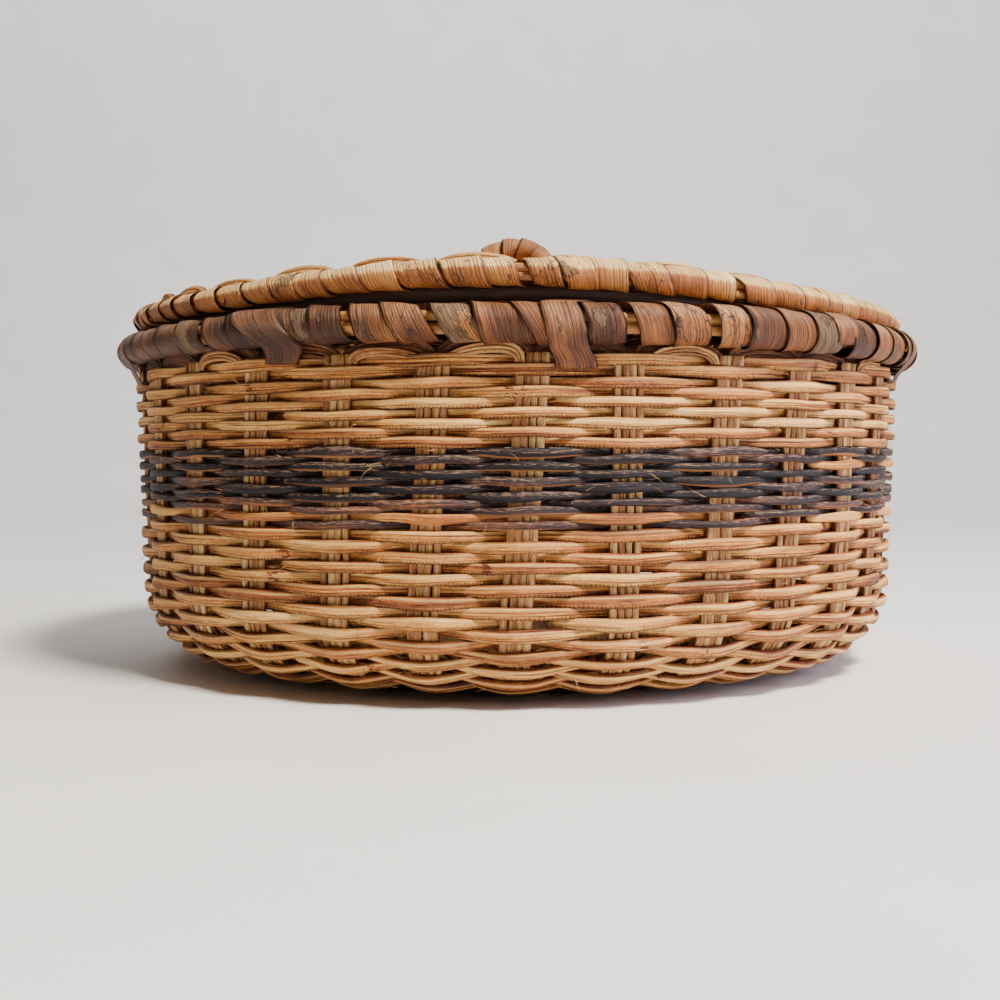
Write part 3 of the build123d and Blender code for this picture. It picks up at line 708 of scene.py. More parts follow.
# %% The shells of the base and the lid
WALL_TOP, WALL_TOP_RADIUS = 92.0, 117.4
CORNER = 21.0
BASE_HEIGHT = 4.6
wall_rise = WALL_TOP - BASE_HEIGHT - CORNER * (1 - math.cos(WALL_TURN))
base_flat = WALL_TOP_RADIUS - CORNER * math.sin(WALL_TURN) - wall_rise / math.tan(WALL_TURN)
base_shell = Shell(BASE_HEIGHT, base_flat, CORNER, WALL_TURN, 1)
lid_shell = Shell(114.5, 36.0, 150.0, math.radians(5), -1)
print("base flat", round(base_flat, 2), "bend ends at", round(base_shell.straight_from, 2))

# %% Where the stakes stand
MID_WALL, HALF_WALL = 50.0, 45.0
# each stake stands a little off its even place, and leans a little
stake_rng = np.random.default_rng(7)
stake_shift = stake_rng.normal(0, math.radians(0.5), STAKES)
stake_lean = stake_rng.normal(math.radians(0.8), math.radians(0.7), STAKES)
# the ones that are seen best have their own
stake_shift[np.arange(-5, 6)] = np.radians([-0.4, 0.1, 0.5, 1.0, 0.7, 0, 0.3, 0.8, 0, -0.2, -0.8])
stake_lean[np.arange(-2, 4)] = np.radians([0.9, 1.3, 1.4, 0.2, 1.1, 1.3])


def stake_offset(index, height, body):
    """How far a stake, or a place between two, is off its even angle at some height."""
    low = np.floor(index).astype(int)
    share = index - low
    upward = (height - MID_WALL) / HALF_WALL if body == "basket" else 0.0
    ends = [stake_shift[n % STAKES] + stake_lean[n % STAKES] * upward for n in (low, low + 1)]
    return ends[0] * (1 - share) + ends[1] * share

# %% [markdown]
# ## Woven canes
#
# A cane goes round in a long spiral. It lies flat over a stake and crosses to the other side
# between two stakes, where it is squeezed narrower by the rows above and below. No two canes are
# the same height, and where one runs out the next begins behind a stake.


# %% Weaving
GAP_LENGTH = 25.4
TIP_LENGTH = 1.6
KNOT_SPACING, KNOT_LENGTH = 230, 3.5


def weave(name, node, shell, start, pitch, first_turn, turns, canes, seed, row, thickness,
          slot="weaver_cane", body="basket", per_gap=14, sides=14, tones=(0.58, 0.15), uneven=1.0):
    """One CAD weaver as canes that follow each other round its spiral.

    row is the height of a row, and uneven says how much its canes differ and drift.
    """
    rng = np.random.default_rng(seed)
    first = (math.pi - FIRST_STAKE) / GAP + STAKES * first_turn
    last = first + STAKES * turns
    # a cane ends just behind a stake, and the next one begins a little further on
    cuts = np.linspace(first, last, canes + 1)[1:-1]
    cuts = 2 * np.rint((cuts + rng.uniform(-5, 5, canes - 1)) / 2) + 1 if canes > 1 else cuts
    starts = np.concatenate([[first], cuts + 0.32])
    ends = np.concatenate([cuts + 0.08, [last - 0.05]])
    bars = Bars(canes, sides, int(np.max(ends - starts) * per_gap))
    index = bars.pick(starts) + bars.pick(ends - starts) * bars.share
    turned = (index - first) / STAKES
    even = FIRST_STAKE + index * GAP
    place = start + pitch * turned
    radius, height, _ = shell.at(place)
    angle = even + stake_offset(index, height, body)
    along = index * GAP * radius
    # over is 1 in front of a stake and -1 behind one
    phase = np.pi * index
    over = 0.98 * np.cos(phase) + 0.02 * np.cos(3 * phase)
    hugging = np.maximum(over, 0)
    size = bars.pick(near(rng, 1.0, 0.6, 0.0, 2.0, canes))
    tall = row * (1.08 + 0.17 * hugging * size)
    tall = tall * (1 + 0.07 * uneven * wander(bars, along, (70, 31), rng) * hugging)
    deep = thickness * (1 + 0.09 * wander(bars, along, (55, 23), rng))
    total_turn = first_turn + turned
    drift = 0.24 * np.sin(3 * even + 0.9 * total_turn) * np.sin(0.35 * total_turn + 1.0)
    drift += np.clip(0.28 * uneven * wander(bars, along, (47, 110), rng), -0.3, 0.3) * hugging
    outward = SWING * over + 0.13 * wander(bars, along, (60, 29), rng)
    roll = np.radians(9.0) * wander(bars, along, (45, 90), rng)
    tip = np.minimum(bars.share, 1 - bars.share) * bars.pick(ends - starts) * GAP_LENGTH
    tip = np.sqrt(np.clip(tip / TIP_LENGTH, 0.02, 1))
    # some canes have a shallow groove along their skin
    out, up = split_cane(bars.turn)
    groove = bars.draw(rng, -0.6, 0.6)
    cut = bars.pick(rng.choice([0.0, 0.0, 0.16, 0.28], canes))
    cut = cut * np.clip(wander(bars, along, (160, 61), rng) + 0.4, 0, 1)
    out = out - np.where(out > 0, cut * 2 * np.exp(-((up - groove) / 0.2) ** 2), 0)
    spin_out, spin_up = rolled(out * deep / 2 * tip, up * tall / 2 * tip, roll)
    points = shell.point(place + drift + spin_up, angle, outward + spin_out)
    knots = (bars.draw(rng, 0, 260) + along) % KNOT_SPACING - KNOT_SPACING / 2
    knot = np.exp(-(knots / KNOT_LENGTH) ** 2)
    tone = near(rng, *tones, 0.05, 0.62 if slot == "dark_cane" else 0.95, canes)
    if slot == "dark_cane":
        undyed = rng.uniform(0, 1, canes) < 0.11
        tone = np.where(undyed, rng.uniform(0.84, 1.0, canes), tone)
    traits = (bars.pick(tone), up / 2 + 0.5, bars.draw(rng, 0, 1), knot)
    lay_piece(name, bars, points, along, up * tall / 2, traits, slot, body, [node])


# %% Bands of the weave
MOST_ROUNDS = 5


def woven_band(band, shell, start, pitch, first_turn, rounds, length=1.6, **kind):
    """A band of the weave, one piece for each CAD weaver. length is that of a cane, in rounds."""
    for number, done in enumerate(range(0, rounds, MOST_ROUNDS), 1):
        part = min(MOST_ROUNDS, rounds - done)
        tail = f"_{number}" if rounds > MOST_ROUNDS else ""
        weave(f"{band}_canes{tail}", f"{band}_weaver{tail}", shell, start + pitch * done, pitch,
              first_turn + done, part, max(1, round(part / length)),
              len(f"{band}_canes") * 100 + number * 7, **kind)


# %% Rows of the base
# the heights of rows as the CAD model has them, the space between two, and the slot for the ties
COARSE, FINE, CLOSE, CLEAR, SLOT = 2.42, 1.58, 2.2, 0.22, 1.05
coarse_pitch, fine_pitch, close_pitch = COARSE + CLEAR, FINE + CLEAR, CLOSE + CLEAR
DARK_ROUNDS, UPPER_ROUNDS = 11, 7
first_row = 37.6
FOOT_RADIUS = 101.0
heel = base_flat + CORNER * math.asin((FOOT_RADIUS - base_flat) / CORNER)
bottom_rounds = math.floor((heel - first_row) / coarse_pitch)
dark_start = base_shell.to_height(46.2)
lower_start = first_row + bottom_rounds * coarse_pitch
lower_room = dark_start - (COARSE + FINE) / 2 - CLEAR + fine_pitch - lower_start
lower_rounds = math.floor(lower_room / coarse_pitch)
lower_pitch = lower_room / lower_rounds
upper_start = dark_start + DARK_ROUNDS * fine_pitch + (FINE + CLOSE) / 2 + CLEAR - fine_pitch
upper_end = upper_start + UPPER_ROUNDS * close_pitch
border_start = upper_end + CLOSE + SLOT - close_pitch
bands = (
    ("bottom", first_row, coarse_pitch, bottom_rounds,
     {"row": 2.62, "thickness": 1.45, "per_gap": 10, "sides": 8, "length": 2.5}),
    ("lower", lower_start, lower_pitch, lower_rounds, {"row": 2.68, "thickness": 1.6}),
    ("dark", dark_start, fine_pitch, DARK_ROUNDS,
     {"row": 1.89, "thickness": 1.3, "slot": "dark_cane", "tones": (0.30, 0.16), "uneven": 2.2,
      "length": 0.7}),
    ("upper", upper_start, close_pitch, UPPER_ROUNDS, {"row": 2.45, "thickness": 1.55}),
    ("border", border_start, close_pitch, 2, {"row": 2.75, "thickness": 1.5}))
turn = 0
for band, start, pitch, rounds, kind in bands:
    woven_band(band, base_shell, start, pitch, turn, rounds, **kind)
    turn += rounds
print("rounds in the base", turn)

# %% [markdown]
# ## Stakes
#
# A stake is four flat reeds side by side, which turn up at the corner of the basket. The reeds
# are never quite parallel, so dark slits open and close between them.


# %% Stakes and spokes
REEDS = 4
REED_WIDTH = 1.98


def stakes(name, shell, end, seed, body, nodes):
    """All stakes of a shell. The two middle reeds of each begin nearer the axis."""
    rng = np.random.default_rng(seed)
    count = STAKES * REEDS
    bars = Bars(count, 8, 60)
    stake, strand = bars.bar // REEDS, bars.bar % REEDS
    begin = np.where((strand == 1) | (strand == 2), 22.0, 70.0)
    place = begin + (end - begin) * bars.share
    _, height, _ = shell.at(place)
    angle = FIRST_STAKE + stake * GAP + stake_offset(stake, height, body)
    out, side = soft_box(bars.turn)
    width = bars.pick(near(rng, REED_WIDTH, 0.16, 1.6, 2.3, count))
    width = width * (1 + 0.06 * wander(bars, place, (30, 13), rng))
    deep = bars.pick(near(rng, 1.5, 0.2, 1.1, 1.9, count))
    sideways = (strand - 1.5) * REED_WIDTH + 0.16 * wander(bars, place, (60, 27), rng)
    outward = 0.12 * wander(bars, place, (50, 21), rng)
    roll = np.radians(11) * wander(bars, place, (80, 37), rng)
    o, s = out * deep / 2, side * width / 2
    spin_out, spin_side = rolled(o, s, roll)
    points = shell.point(place, angle, outward + spin_out, sideways + spin_side)
    traits = (bars.draw(rng, 0.1, 1.0), side / 2 + 0.5, bars.draw(rng, 0, 1), 0.0)
    lay_piece(name, bars, points, place, s + out * 0.3, traits, "stake_reed", body, nodes)


# %% Stakes of the base
border_place = border_start + 2 * close_pitch + CLOSE / 2
border_top = base_shell.at(border_place)[1]
stakes("stakes", base_shell, end=base_shell.to_height(border_top - 0.6), seed=21, body="basket",
       nodes=["stake_inner_strands", "stake_outer_strands"])

# %% [markdown]
# ## The wrapped rims
#
# Round canes make the core of each rim, and a strip of bark is wound round them, each turn lying
# with one edge on the turn before. Seen from outside the edges slant from upper left to lower
# right. The turns differ in width, and where one is too narrow the pale canes under it show.
# The base's rim is fuller on its right side than on its left.


# %% The line of a rim
LASHED_GAPS = (0, 3, 5, 8, 11, 13, 16, 18, 21, 23, 26)
lashing_angles = np.array([FIRST_STAKE + (gap + 0.5) * GAP for gap in LASHED_GAPS])
RIM_RADIUS, RIM_HEIGHT = 120.4, 95.7


def round_the_rim(radius, *marks):
    """A value along a rim that passes smoothly through marks (degrees from near side, value)."""
    degrees, values = np.array(marks, dtype=float).T
    fine = np.arange(-200, 201, 2.0)
    line = np.interp(fine, degrees, values, period=360)
    smooth = np.hanning(13)[1:-1] / 6.0
    line = np.convolve(np.pad(line, 5, mode="wrap"), smooth, mode="same")[5:-5]

    def at(place):
        return np.interp((np.degrees(place / radius) + 180) % 360 - 180, fine, line)
    return at


# %% The two rims
base_fullness = round_the_rim(
    RIM_RADIUS, (-180, 0.55), (-95, 0.1), (-45, -0.1), (-25, 0.4), (0, 0.55), (12, 0.9), (50, 0.95),
    (90, 0.65), (140, 0.5))
base_rise = round_the_rim(
    RIM_RADIUS, (-180, 0.2), (-60, -0.3), (-40, 0.4), (-22, 1.2), (0, 0.4), (22, 0.9), (40, 0.6),
    (60, -0.5))
lid_fullness = round_the_rim(LID_RIM_RADIUS, (-180, 0.1), (-30, -0.1), (0, 0.25), (60, 0.0))


def rim_frame(radius, height, rise=None):
    """Middle, outward and upward at a distance along the rim."""
    def at(place):
        lift = rise(place) if rise else 0.0
        angle = place / radius
        return (around(radius, angle, height + lift), around(1.0, angle, 0.0),
                np.array([0.0, 0.0, 1.0]))
    return at


base_rim = rim_frame(RIM_RADIUS, RIM_HEIGHT, base_rise)
lid_rim = rim_frame(LID_RIM_RADIUS, LID_RIM_HEIGHT)


# %% Core canes
def core_canes(rim, count, frame_at, radius, offset, thickness, seed, body):
    """Round canes side by side, each closed into a ring behind, where its two ends meet."""
    rng = np.random.default_rng(seed)
    for number in range(count):
        bars = Bars(1, 10, 260)
        place = (bars.share - 0.5) * (2 * np.pi * radius - 0.3)
        roll = 2 * np.pi * (number + 0.5) / count + 0.2 * wander(bars, place, (160, 75), rng)
        reach = offset * (1 + 0.08 * wander(bars, place, (90, 40), rng))
        size = thickness / 2 * (1 + 0.05 * wander(bars, place, (50, 20), rng))
        points = beside(frame_at(place), reach * np.cos(roll) + size * np.cos(bars.turn),
                        reach * np.sin(roll) + size * np.sin(bars.turn))
        lay_piece(f"{rim}_core_{number + 1}", bars, points, place, bars.turn * size,
                  (rng.uniform(0.55, 0.9), 0.5, 0.0, 0.0), "peeled_cane", body,
                  [f"{rim}_cane_{number + 1}"])


core_canes("rim", 4, base_rim, RIM_RADIUS, offset=1.85, thickness=2.75, seed=61, body="basket")
core_canes("lid_rim", 3, lid_rim, LID_RIM_RADIUS, offset=1.4, thickness=2.3, seed=62, body="lid")


# %% Winding a strip
def wind(name, frame_at, spans, pitch, core, thick, seed, slot, body, node, raised=1, sense=-1,
         crease=0.0, tones=(0.5, 0.10), fullness=None, bare=(), shade=None):
    """Strips wound round a core, one bar for each span (start, end) along it, in millimetres.

    raised says which edge of a turn lies on top, and sense which way the strip goes round. At
    each place in bare, the two turns that meet there leave a gap and the core shows.
    """
    rng = np.random.default_rng(seed)
    spans = np.array(spans)
    lengths = spans[:, 1] - spans[:, 0]
    turns = np.maximum(2, np.rint(lengths / pitch))
    most = int(turns.max())
    bars = Bars(len(spans), 16, most * 44)
    layer, across = thin_strip(bars.turn)
    count = bars.pick(turns) * bars.share
    turn = np.minimum(np.floor(count).astype(int), most - 1)
    part = count - np.floor(count)

    def each(table):
        """A number for each turn, blended near its end, inside the rim."""
        blend = np.clip((part - 0.85) / 0.15, 0, 1)
        return (table[bars.bar, turn] * (1 - blend)
                + table[bars.bar, np.minimum(turn + 1, most)] * blend)

    # a turn covers about half a pitch before and behind its middle
    size = (len(spans), most + 1)
    before = near(rng, 0.54, 0.05, 0.42, 0.66, size)
    behind = near(rng, 0.53, 0.05, 0.40, 0.66, size)
    middles = spans[:, :1] + (lengths / turns)[:, None] * (np.arange(most + 1) + 0.5)
    for place in bare:
        gaps = np.abs(middles + pitch / 2 - place)
        span, first = np.unravel_index(np.argmin(gaps), size)
        behind[span, first] = 0.30
        if first < most:
            before[span, first + 1] = 0.42
    left, right = each(before) * pitch, each(behind) * pitch
    lift = each(near(rng, 1.0, 0.25, 0.5, 1.7, size))
    slant = each(rng.normal(0.02, 0.05, size))
    # a turn starts and ends at the inner side, where the change from one to the next is hidden
    phi = np.pi + sense * 2 * np.pi * count
    middle = bars.pick(spans[:, 0]) + bars.pick(lengths) * count / bars.pick(turns)
    place = middle + (right - left) / 2 + across * (left + right) / 2
    place = place + slant * np.sin(phi) * pitch
    place = place + 0.14 * np.abs(across) * wander(bars, phi * core, (9, 4), rng)
    # one edge lies on the turn before, and its last bit curls up
    edge = np.clip((1 - raised * across) / 2, 0, 1)
    bulge = 0.10 * wander(bars, place, (19, 7), rng) + crease * np.cos(phi - 0.2) ** 10
    bulge = bulge + (fullness(place) if fullness else 0.0)
    curl = 0.3 * np.clip(-raised * across - 0.8, 0, 0.2) / 0.2
    reach = core + thick / 2 + edge * lift * thick * 1.5 + curl + layer * thick / 2 + bulge
    points = beside(frame_at(place), reach * np.cos(phi), reach * np.sin(phi))
    tone = each(near(rng, *tones, 0.1, 0.95, size)) + (shade(place) if shade else 0.0)
    luck = each(rng.uniform(0, 1, size))
    lay_piece(name, bars, points, (phi - np.pi) * -sense * core, across * (left + right) / 2,
              (tone, np.sin(phi) / 2 + 0.5, luck, across / 2 + 0.5), slot, body, [node])


# %% Wrapping of the base's rim
def between_lashings(radius, margin):
    """From each lashing to the next, in millimetres along the rim."""
    ends = np.append(lashing_angles[1:], lashing_angles[0] + 2 * np.pi)
    return [(low * radius + margin, high * radius - margin)
            for low, high in zip(lashing_angles, ends)]


def on_rim(radius, *degrees):
    """Distances along a rim, counted on from its first lashing."""
    first = lashing_angles[0]
    return [((math.radians(d) - first) % (2 * math.pi) + first) * radius for d in degrees]


# painted shade: the base's strip is darker round its left side
base_left_shade = round_the_rim(
    RIM_RADIUS, (-180, -0.05), (-110, -0.25), (-32, -0.25), (-18, -0.04), (120, 0.02))
wind("rim_wrap", base_rim, between_lashings(RIM_RADIUS, 2.0), pitch=11.3, core=3.55, thick=0.42,
     seed=31, slot="bark_strip", body="basket", node="rim_binding", fullness=base_fullness,
     shade=base_left_shade,
     bare=on_rim(RIM_RADIUS, -40, -18, -10, 14, 20.5, 75, 122, 165, 201, 246))


# %% [markdown]
# ## Lashings
#
# At eleven places the strip leaves the rim, goes down through the weave under the top two rows
# and comes back up, which ties the rim to the wall. Some cross straight down, others slant.


# %% Where a tie runs
def arc(centre, size, first, last, steps):
    """Part of a circle in the (out, up) plane. The angles are in degrees."""
    turns = np.radians(np.linspace(first, last, steps))
    return np.array(centre) + size * np.column_stack([np.cos(turns), np.sin(turns)])


def slot_at(shell, angle, end, pitch, room):
    """Radius and height of the slot that is left open above the last row, in its spiral."""
    turned = (angle - math.pi) / (2 * math.pi) % 1
    radius, height, _ = shell.at(end - pitch * (1 - turned) + room / 2)
    return radius, height


# %% Ties
def tie(name, paths, shapes, thick, seed, slot, body, node, tones=(0.45, 0.1)):
    """Bands round a rim, one along each path in the (out, up) plane.

    shapes gives each one's width on top and below, and its shift there.
    """
    rng = np.random.default_rng(seed)
    bars = Bars(len(paths), 16, 72)
    layer, across = thin_strip(bars.turn)
    out, up, outward, upward, length, low = (np.zeros_like(bars.share) for _ in range(6))
    for number, line in enumerate(paths):
        run = np.append(0, np.cumsum(np.linalg.norm(np.diff(line, axis=0), axis=1)))
        mine = bars.bar == number
        # a band starts out of sight and ends a little past its start
        there = (0.70 + bars.share[mine] * 1.04) % 1.0 * run[-1]
        ends = [(there + 0.6) % run[-1], (there - 0.6) % run[-1]]
        do, du = (np.interp(ends[0], run, line[:, k]) - np.interp(ends[1], run, line[:, k])
                  for k in (0, 1))
        size = np.hypot(do, du)
        out[mine], up[mine] = np.interp(there, run, line[:, 0]), np.interp(there, run, line[:, 1])
        outward[mine], upward[mine] = du / size, -do / size
        length[mine] = bars.share[mine] * run[-1] * 1.04
        low[mine] = np.clip((line[:, 1].max() - up[mine]) / np.ptp(line[:, 1]), 0, 1)
    front = np.clip((out - out.mean()) / 3.0, 0, 1)
    top_width, low_width, top_shift, low_shift = map(bars.pick, np.array(shapes).T)
    width = top_width + (low_width - top_width) * low ** 1.6
    width = width + 0.3 * wander(bars, length, (9, 4), rng)
    side = across * width / 2 + (top_shift + (low_shift - top_shift) * low) * front
    reach = thick / 2 + layer * thick / 2 + 0.12 * wander(bars, length, (13, 6), rng)
    reach = reach + 0.3 * bars.share
    points = around(out + outward * reach, bars.pick(lashing_angles), up + upward * reach, side)
    # side falls to 0 where a band runs down into the wall, into the bark's painted shade
    traits = (bars.pick(near(rng, *tones, 0.1, 0.9, len(paths))),
              np.clip(1.25 - low * 1.25, 0, 1), bars.draw(rng, 0.2, 0.6), across / 2 + 0.5)
    lay_piece(name, bars, points, length, across * width / 2, traits, slot, body, [node])


# %% Ties of the base's rim
# some ties have a shape of their own: number, then widths and shifts. own_levels says how far
# above the slot two of them pass through the wall.
own_shapes = {0: (9.8, 10.4, -5.4, -1.2), 2: (11.0, 9.0, 0.0, -4.0), 3: (11.0, 7.0, 0.0, 1.0),
              8: (11.5, 6.0, -1.0, 1.5), 10: (15.5, 10.5, -6.5, 7.0)}
own_levels = {1: 8.5, 10: 4.4}
HALF_WEAVE = 3.1
tie_rng = np.random.default_rng(5)
base_paths, base_shapes = [], []
for number, angle in enumerate(lashing_angles):
    slot_radius, slot_height = slot_at(base_shell, angle, upper_end, close_pitch, CLOSE + SLOT)
    level = slot_height + own_levels.get(number, 2.2)
    inner, outer = slot_radius - HALF_WEAVE, slot_radius + HALF_WEAVE
    place = angle * RIM_RADIUS
    over = arc((RIM_RADIUS, RIM_HEIGHT + base_rise(place)), 4.15 + base_fullness(place),
               -25, 205, 40)
    base_paths.append(np.vstack([over, [inner, level + 1.5], [inner + 0.6, level],
                                 [outer - 0.6, level], [outer, level + 1.5], over[0]]))
    chosen = tie_rng.uniform((10.5, 6, -3, -1), (12, 10, 0, 4))
    base_shapes.append(own_shapes.get(number, chosen))
tie("rim_ties", base_paths, base_shapes, thick=0.45, seed=41, slot="bark_strip", body="basket",
    node="rim_lashings")


# %% [markdown]
# ## Scalloped borders
#
# The reeds of a stake bend over under the rim and tuck in beside the next stake. On the base
# only a low arch shows under the rim. On the lid they stand up in scallops inside it.


# %% Arches
# the gaps between stakes where an arch shows under the base's rim
SHOWN_GAPS = (1, 4, 7, 9, 12, 15, 19, 22, 25, 27, 28)


def arches(name, radius, foot, rise, half_span, strands, width, thick, seed, body, nodes,
           uneven=0.25, reach=0.0, right=1.0, spread=1.15, gaps=range(STAKES), tones=(0.1, 0.8)):
    """Nested arches over gaps. right is how high those at +X stand against those at -X."""
    rng = np.random.default_rng(seed)
    count = len(gaps) * strands
    bars = Bars(count, 8, 18)
    gap, strand = np.array(gaps)[bars.bar // strands], bars.bar % strands
    turn = np.pi * bars.share
    out, side = soft_box(bars.turn)
    middles = FIRST_STAKE + (np.array(gaps) + 0.5) * GAP
    grow = rng.normal(1, uneven, len(gaps)) * (1 - (1 - right) * (0.5 + 0.5 * np.sin(middles)))
    grow = bars.pick(grow.clip(0.35, 1.5).repeat(strands))
    inset = strand * thick * spread
    tall = (rise - inset).clip(0.3) * grow
    span = half_span - inset * 0.8 + side * thick / 2
    skew = bars.pick(rng.normal(0, 0.5 * uneven + 0.06, len(gaps)).repeat(strands))
    along = span * (-np.cos(turn) + skew * np.sin(turn) ** 2)
    along = along + 0.3 * np.sin(turn) * wander(bars, turn * 10, (40,), rng)
    up = (tall + side * thick / 2) * np.sin(turn) ** 0.8
    middle = FIRST_STAKE + (gap + 0.5) * GAP + stake_offset(gap + 0.5, WALL_TOP, body)
    r = radius + reach * np.sin(turn) + out * width / 2 + 0.2 * wander(bars, turn * 10, (25,), rng)
    points = around(r, middle + along / radius, foot + up)
    traits = (bars.draw(rng, *tones), side / 2 + 0.5, bars.draw(rng, 0, 1), 0.0)
    lay_piece(name, bars, points, turn * half_span, out * width / 2 + side * thick / 2, traits,
              "stake_reed", body, nodes)


# %% Arches of the base
arches("border_loops", radius=117.8, foot=border_top - 3.0, rise=5.0, half_span=9.4, strands=3,
       width=1.5, thick=0.9, seed=51, body="basket", nodes=["border_arches"], reach=0.3,
       gaps=SHOWN_GAPS)
# arches further in, which also close the view inside; their low tones are painted shade
arches("border_inner_loops", radius=115.9, foot=border_top - 2.0, rise=5.0, half_span=12.0,
       strands=4, width=1.5, thick=1.25, seed=53, body="basket", nodes=[], uneven=0.05, spread=0.9,
       tones=(-0.5, -0.2))

# %% [markdown]
# ## The lid
#
# The lid is woven the same way on spokes, slightly domed. Its rim is wrapped in a paler strip
# than the base, creased along the middle of its outer face, and it sits in the basket's mouth
# on a flat hoop.

# %% Lid weave, spokes and scallops
LID_SPOKE_END = 112.2
LID_SLOT = 1.3
spoke_reached = float(lid_shell.at(lid_shell.straight_from)[0])
spoke_end = lid_shell.straight_from + (LID_SPOKE_END - spoke_reached) / math.cos(lid_shell.turn)
edge_room = coarse_pitch + LID_SLOT + COARSE
lid_rounds = math.floor((spoke_end - 2.0 - edge_room - first_row) / coarse_pitch)
lid_weave_end = first_row + lid_rounds * coarse_pitch
edge_start = lid_weave_end + COARSE + LID_SLOT - coarse_pitch
lid_kind = {"row": 2.75, "thickness": 1.5, "body": "lid", "per_gap": 10, "sides": 10}
woven_band("lid", lid_shell, first_row, coarse_pitch, 0, lid_rounds, 2.0, **lid_kind)
woven_band("lid_edge", lid_shell, edge_start, coarse_pitch, lid_rounds, 1, **lid_kind)
stakes("lid_spokes", lid_shell, end=spoke_end, seed=22, body="lid",
       nodes=["lid_spoke_inner_strands", "lid_spoke_outer_strands"])
arches("lid_loops", radius=LID_SPOKE_END - 0.6, foot=lid_shell.at(spoke_end)[1] - 0.3, rise=5.6,
       half_span=11.6, strands=4, width=1.9, thick=1.3, seed=52, body="lid", nodes=["lid_arches"],
       uneven=0.07, right=0.6, spread=0.95)


# %% Wrapping of the lid's rim
# painted shade: the lid's strip is darker round its left side, a little lighter on the right
lid_left_shade = round_the_rim(LID_RIM_RADIUS, (-180, 0.0), (-60, -0.12), (-20, 0.0), (90, 0.05))
wind("lid_rim_wrap", lid_rim, between_lashings(LID_RIM_RADIUS, 2.0), pitch=10.4, core=2.65,
     thick=0.40, seed=33, slot="pale_bark_strip", body="lid", node="lid_rim_binding", raised=-1,
     crease=0.4, tones=(0.55, 0.07), fullness=lid_fullness, shade=lid_left_shade,
     bare=on_rim(LID_RIM_RADIUS, -1.0, 4.8, 28, 95, 150, 215, 300))

# %% Ties of the lid's rim
lid_paths = []
for angle in lashing_angles:
    slot_radius, slot_height = slot_at(lid_shell, angle, lid_weave_end, coarse_pitch,
                                       COARSE + LID_SLOT)
    low, high = ([slot_radius + 0.4, slot_height + reach] for reach in (-3.0, 3.0))
    over = arc((LID_RIM_RADIUS, LID_RIM_HEIGHT), 3.2 + lid_fullness(angle * LID_RIM_RADIUS),
               120, -100, 30)
    lid_paths.append(np.vstack([low, high, over, [114.6, 104.9], [112.0, 105.6], low])[::-1])
tie("lid_ties", lid_paths, [(9.5, 8.0, -1.5, 2.0)] * len(lid_paths), thick=0.30, seed=42,
    slot="pale_bark_strip", body="lid", node="lid_lashings", tones=(0.52, 0.06))

# %% Seat hoop, closed behind
HOOP_RADIUS, HOOP_HEIGHT = 114.0, 103.0
HOOP_WIDTH, HOOP_DEPTH = 3.4, 4.0
bars = Bars(1, 8, 240)
angle = (bars.share - 0.5) * (2 * np.pi - 0.002)
out, up = soft_box(bars.turn)
radius = HOOP_RADIUS + out * HOOP_WIDTH / 2
# the hoop's finish is nearly black: painted shade
lay_piece("seat_hoop", bars, around(radius, angle, HOOP_HEIGHT + up * HOOP_DEPTH / 2),
          angle * radius, out + up, (0.4, 0.5, 0.0, 0.0), "hoop_cane", "lid", ["lid_seat_hoop"])


# %% [markdown]
# ## Handle
#
# Three thin canes are bent over and wrapped with a broad strip. The loop is small, just big
# enough for a finger.

# %% Handle wrap
HANDLE_RADIUS, HANDLE_TOP, HANDLE_FOOT = 12.0, 135.0, 116.6
HALF_HANDLE = 3.6
handle_leg = HANDLE_TOP - HALF_HANDLE - HANDLE_RADIUS - HANDLE_FOOT
handle_length = 2 * handle_leg + np.pi * HANDLE_RADIUS


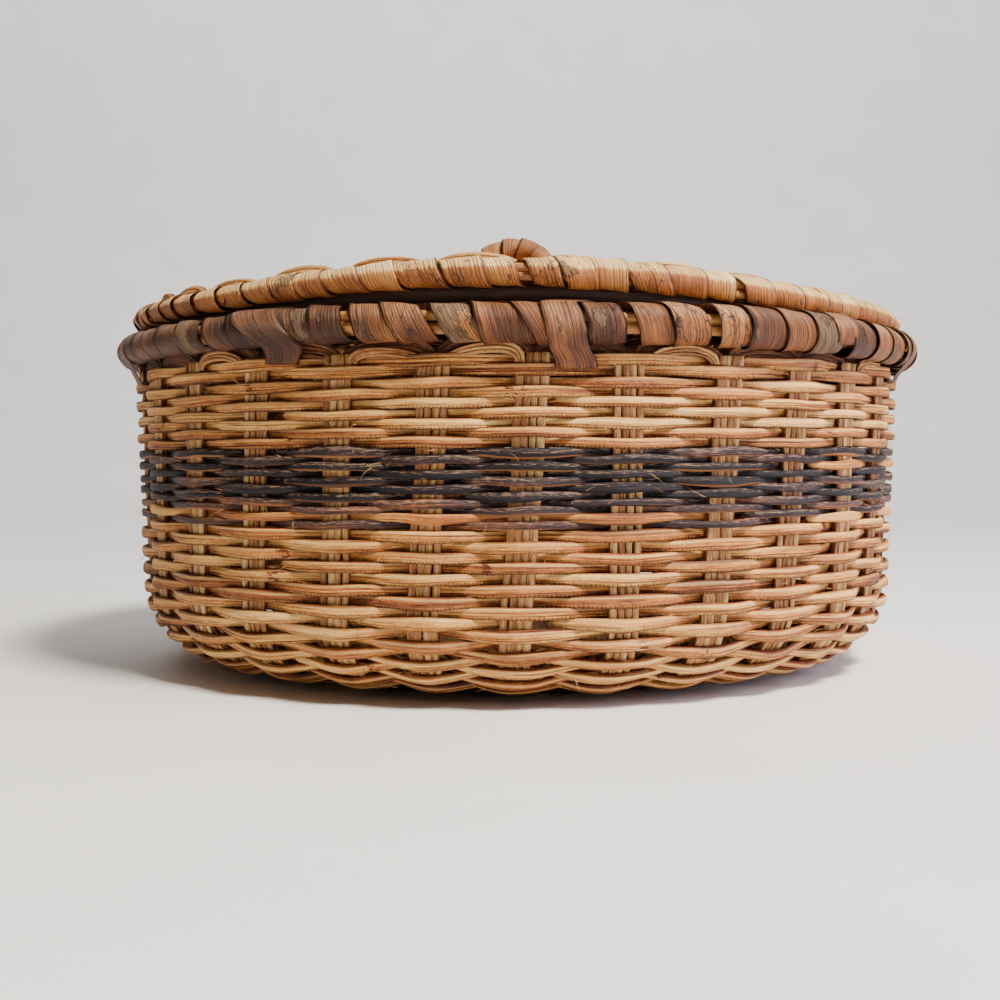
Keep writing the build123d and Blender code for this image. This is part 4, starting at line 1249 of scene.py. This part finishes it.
def handle_frame(place):
    """Middle, outward and sideways along the loop, from its left foot to its right one."""
    turn = np.clip((place - handle_leg) / HANDLE_RADIUS, 0, np.pi)
    out = np.column_stack([-np.cos(turn), np.zeros_like(turn), np.sin(turn)])
    below = np.maximum(handle_leg - np.minimum(place, handle_length - place), 0)
    centre = out * HANDLE_RADIUS
    centre[:, 2] += HANDLE_FOOT + handle_leg - below
    return centre, out, np.array([0.0, 1.0, 0.0])


wind("handle_wrap", handle_frame, [(2.6, handle_length - 2.6)], pitch=5.6, core=2.45, thick=0.6,
     seed=35, slot="handle_strip", body="lid", node="handle_binding", sense=1)

# %% [markdown]
# ## Loose fibres
#
# Splitting the canes leaves fine hairs and splinters, which stand off the wall and the rims.


# %% Fibres
def fibres(name, count, start_of, seed, body):
    """Fine curved hairs. start_of gives their first points from the random numbers and angles."""
    rng = np.random.default_rng(seed)
    bars = Bars(count, 4, 5)
    angle = rng.uniform(0, 2 * np.pi, count)
    start = start_of(rng, angle)
    out, side = around(1.0, angle, 0.0), around(0.0, angle, 0.0, 1.0)
    lean = rng.normal(0, 1.0, count)[:, None]
    rise = rng.normal(0, 0.5, count)[:, None]
    aim = out * rng.uniform(0.2, 0.7, count)[:, None] + side * lean
    aim[:, 2:] += rise
    aim = aim / np.linalg.norm(aim, axis=1)[:, None]
    bend = rng.normal(0, 0.35, (count, 3))
    length = rng.uniform(1.5, 4.5, count)[:, None]
    share = bars.share[:, None]
    line = bars.pick(start) + bars.pick(length) * (share * bars.pick(aim)
                                                   + share ** 2 * bars.pick(bend))
    thick = bars.draw(rng, 0.05, 0.10) * (1.1 - bars.share)
    points = line + bars.pick(side) * (np.cos(bars.turn) * thick)[:, None]
    points[:, 2] += np.sin(bars.turn) * thick
    traits = (bars.draw(rng, 0.5, 1.0), 0.5, bars.draw(rng, 0, 1), 0.0)
    lay_piece(name, bars, points, bars.share * 3, thick, traits, "stake_reed", body, [])


# %% Fibres on the wall and on the lid's rim
def on_wall(rng, angle):
    return base_shell.point(rng.uniform(heel, border_place - 1.0, len(angle)), angle, 2.2)


def on_lid_rim(rng, angle):
    return around(LID_RIM_RADIUS + 2.2, angle, LID_RIM_HEIGHT + 1.8)


fibres("wall_fibres", 700, on_wall, 71, "basket")
fibres("lid_fibres", 120, on_lid_rim, 72, "lid")
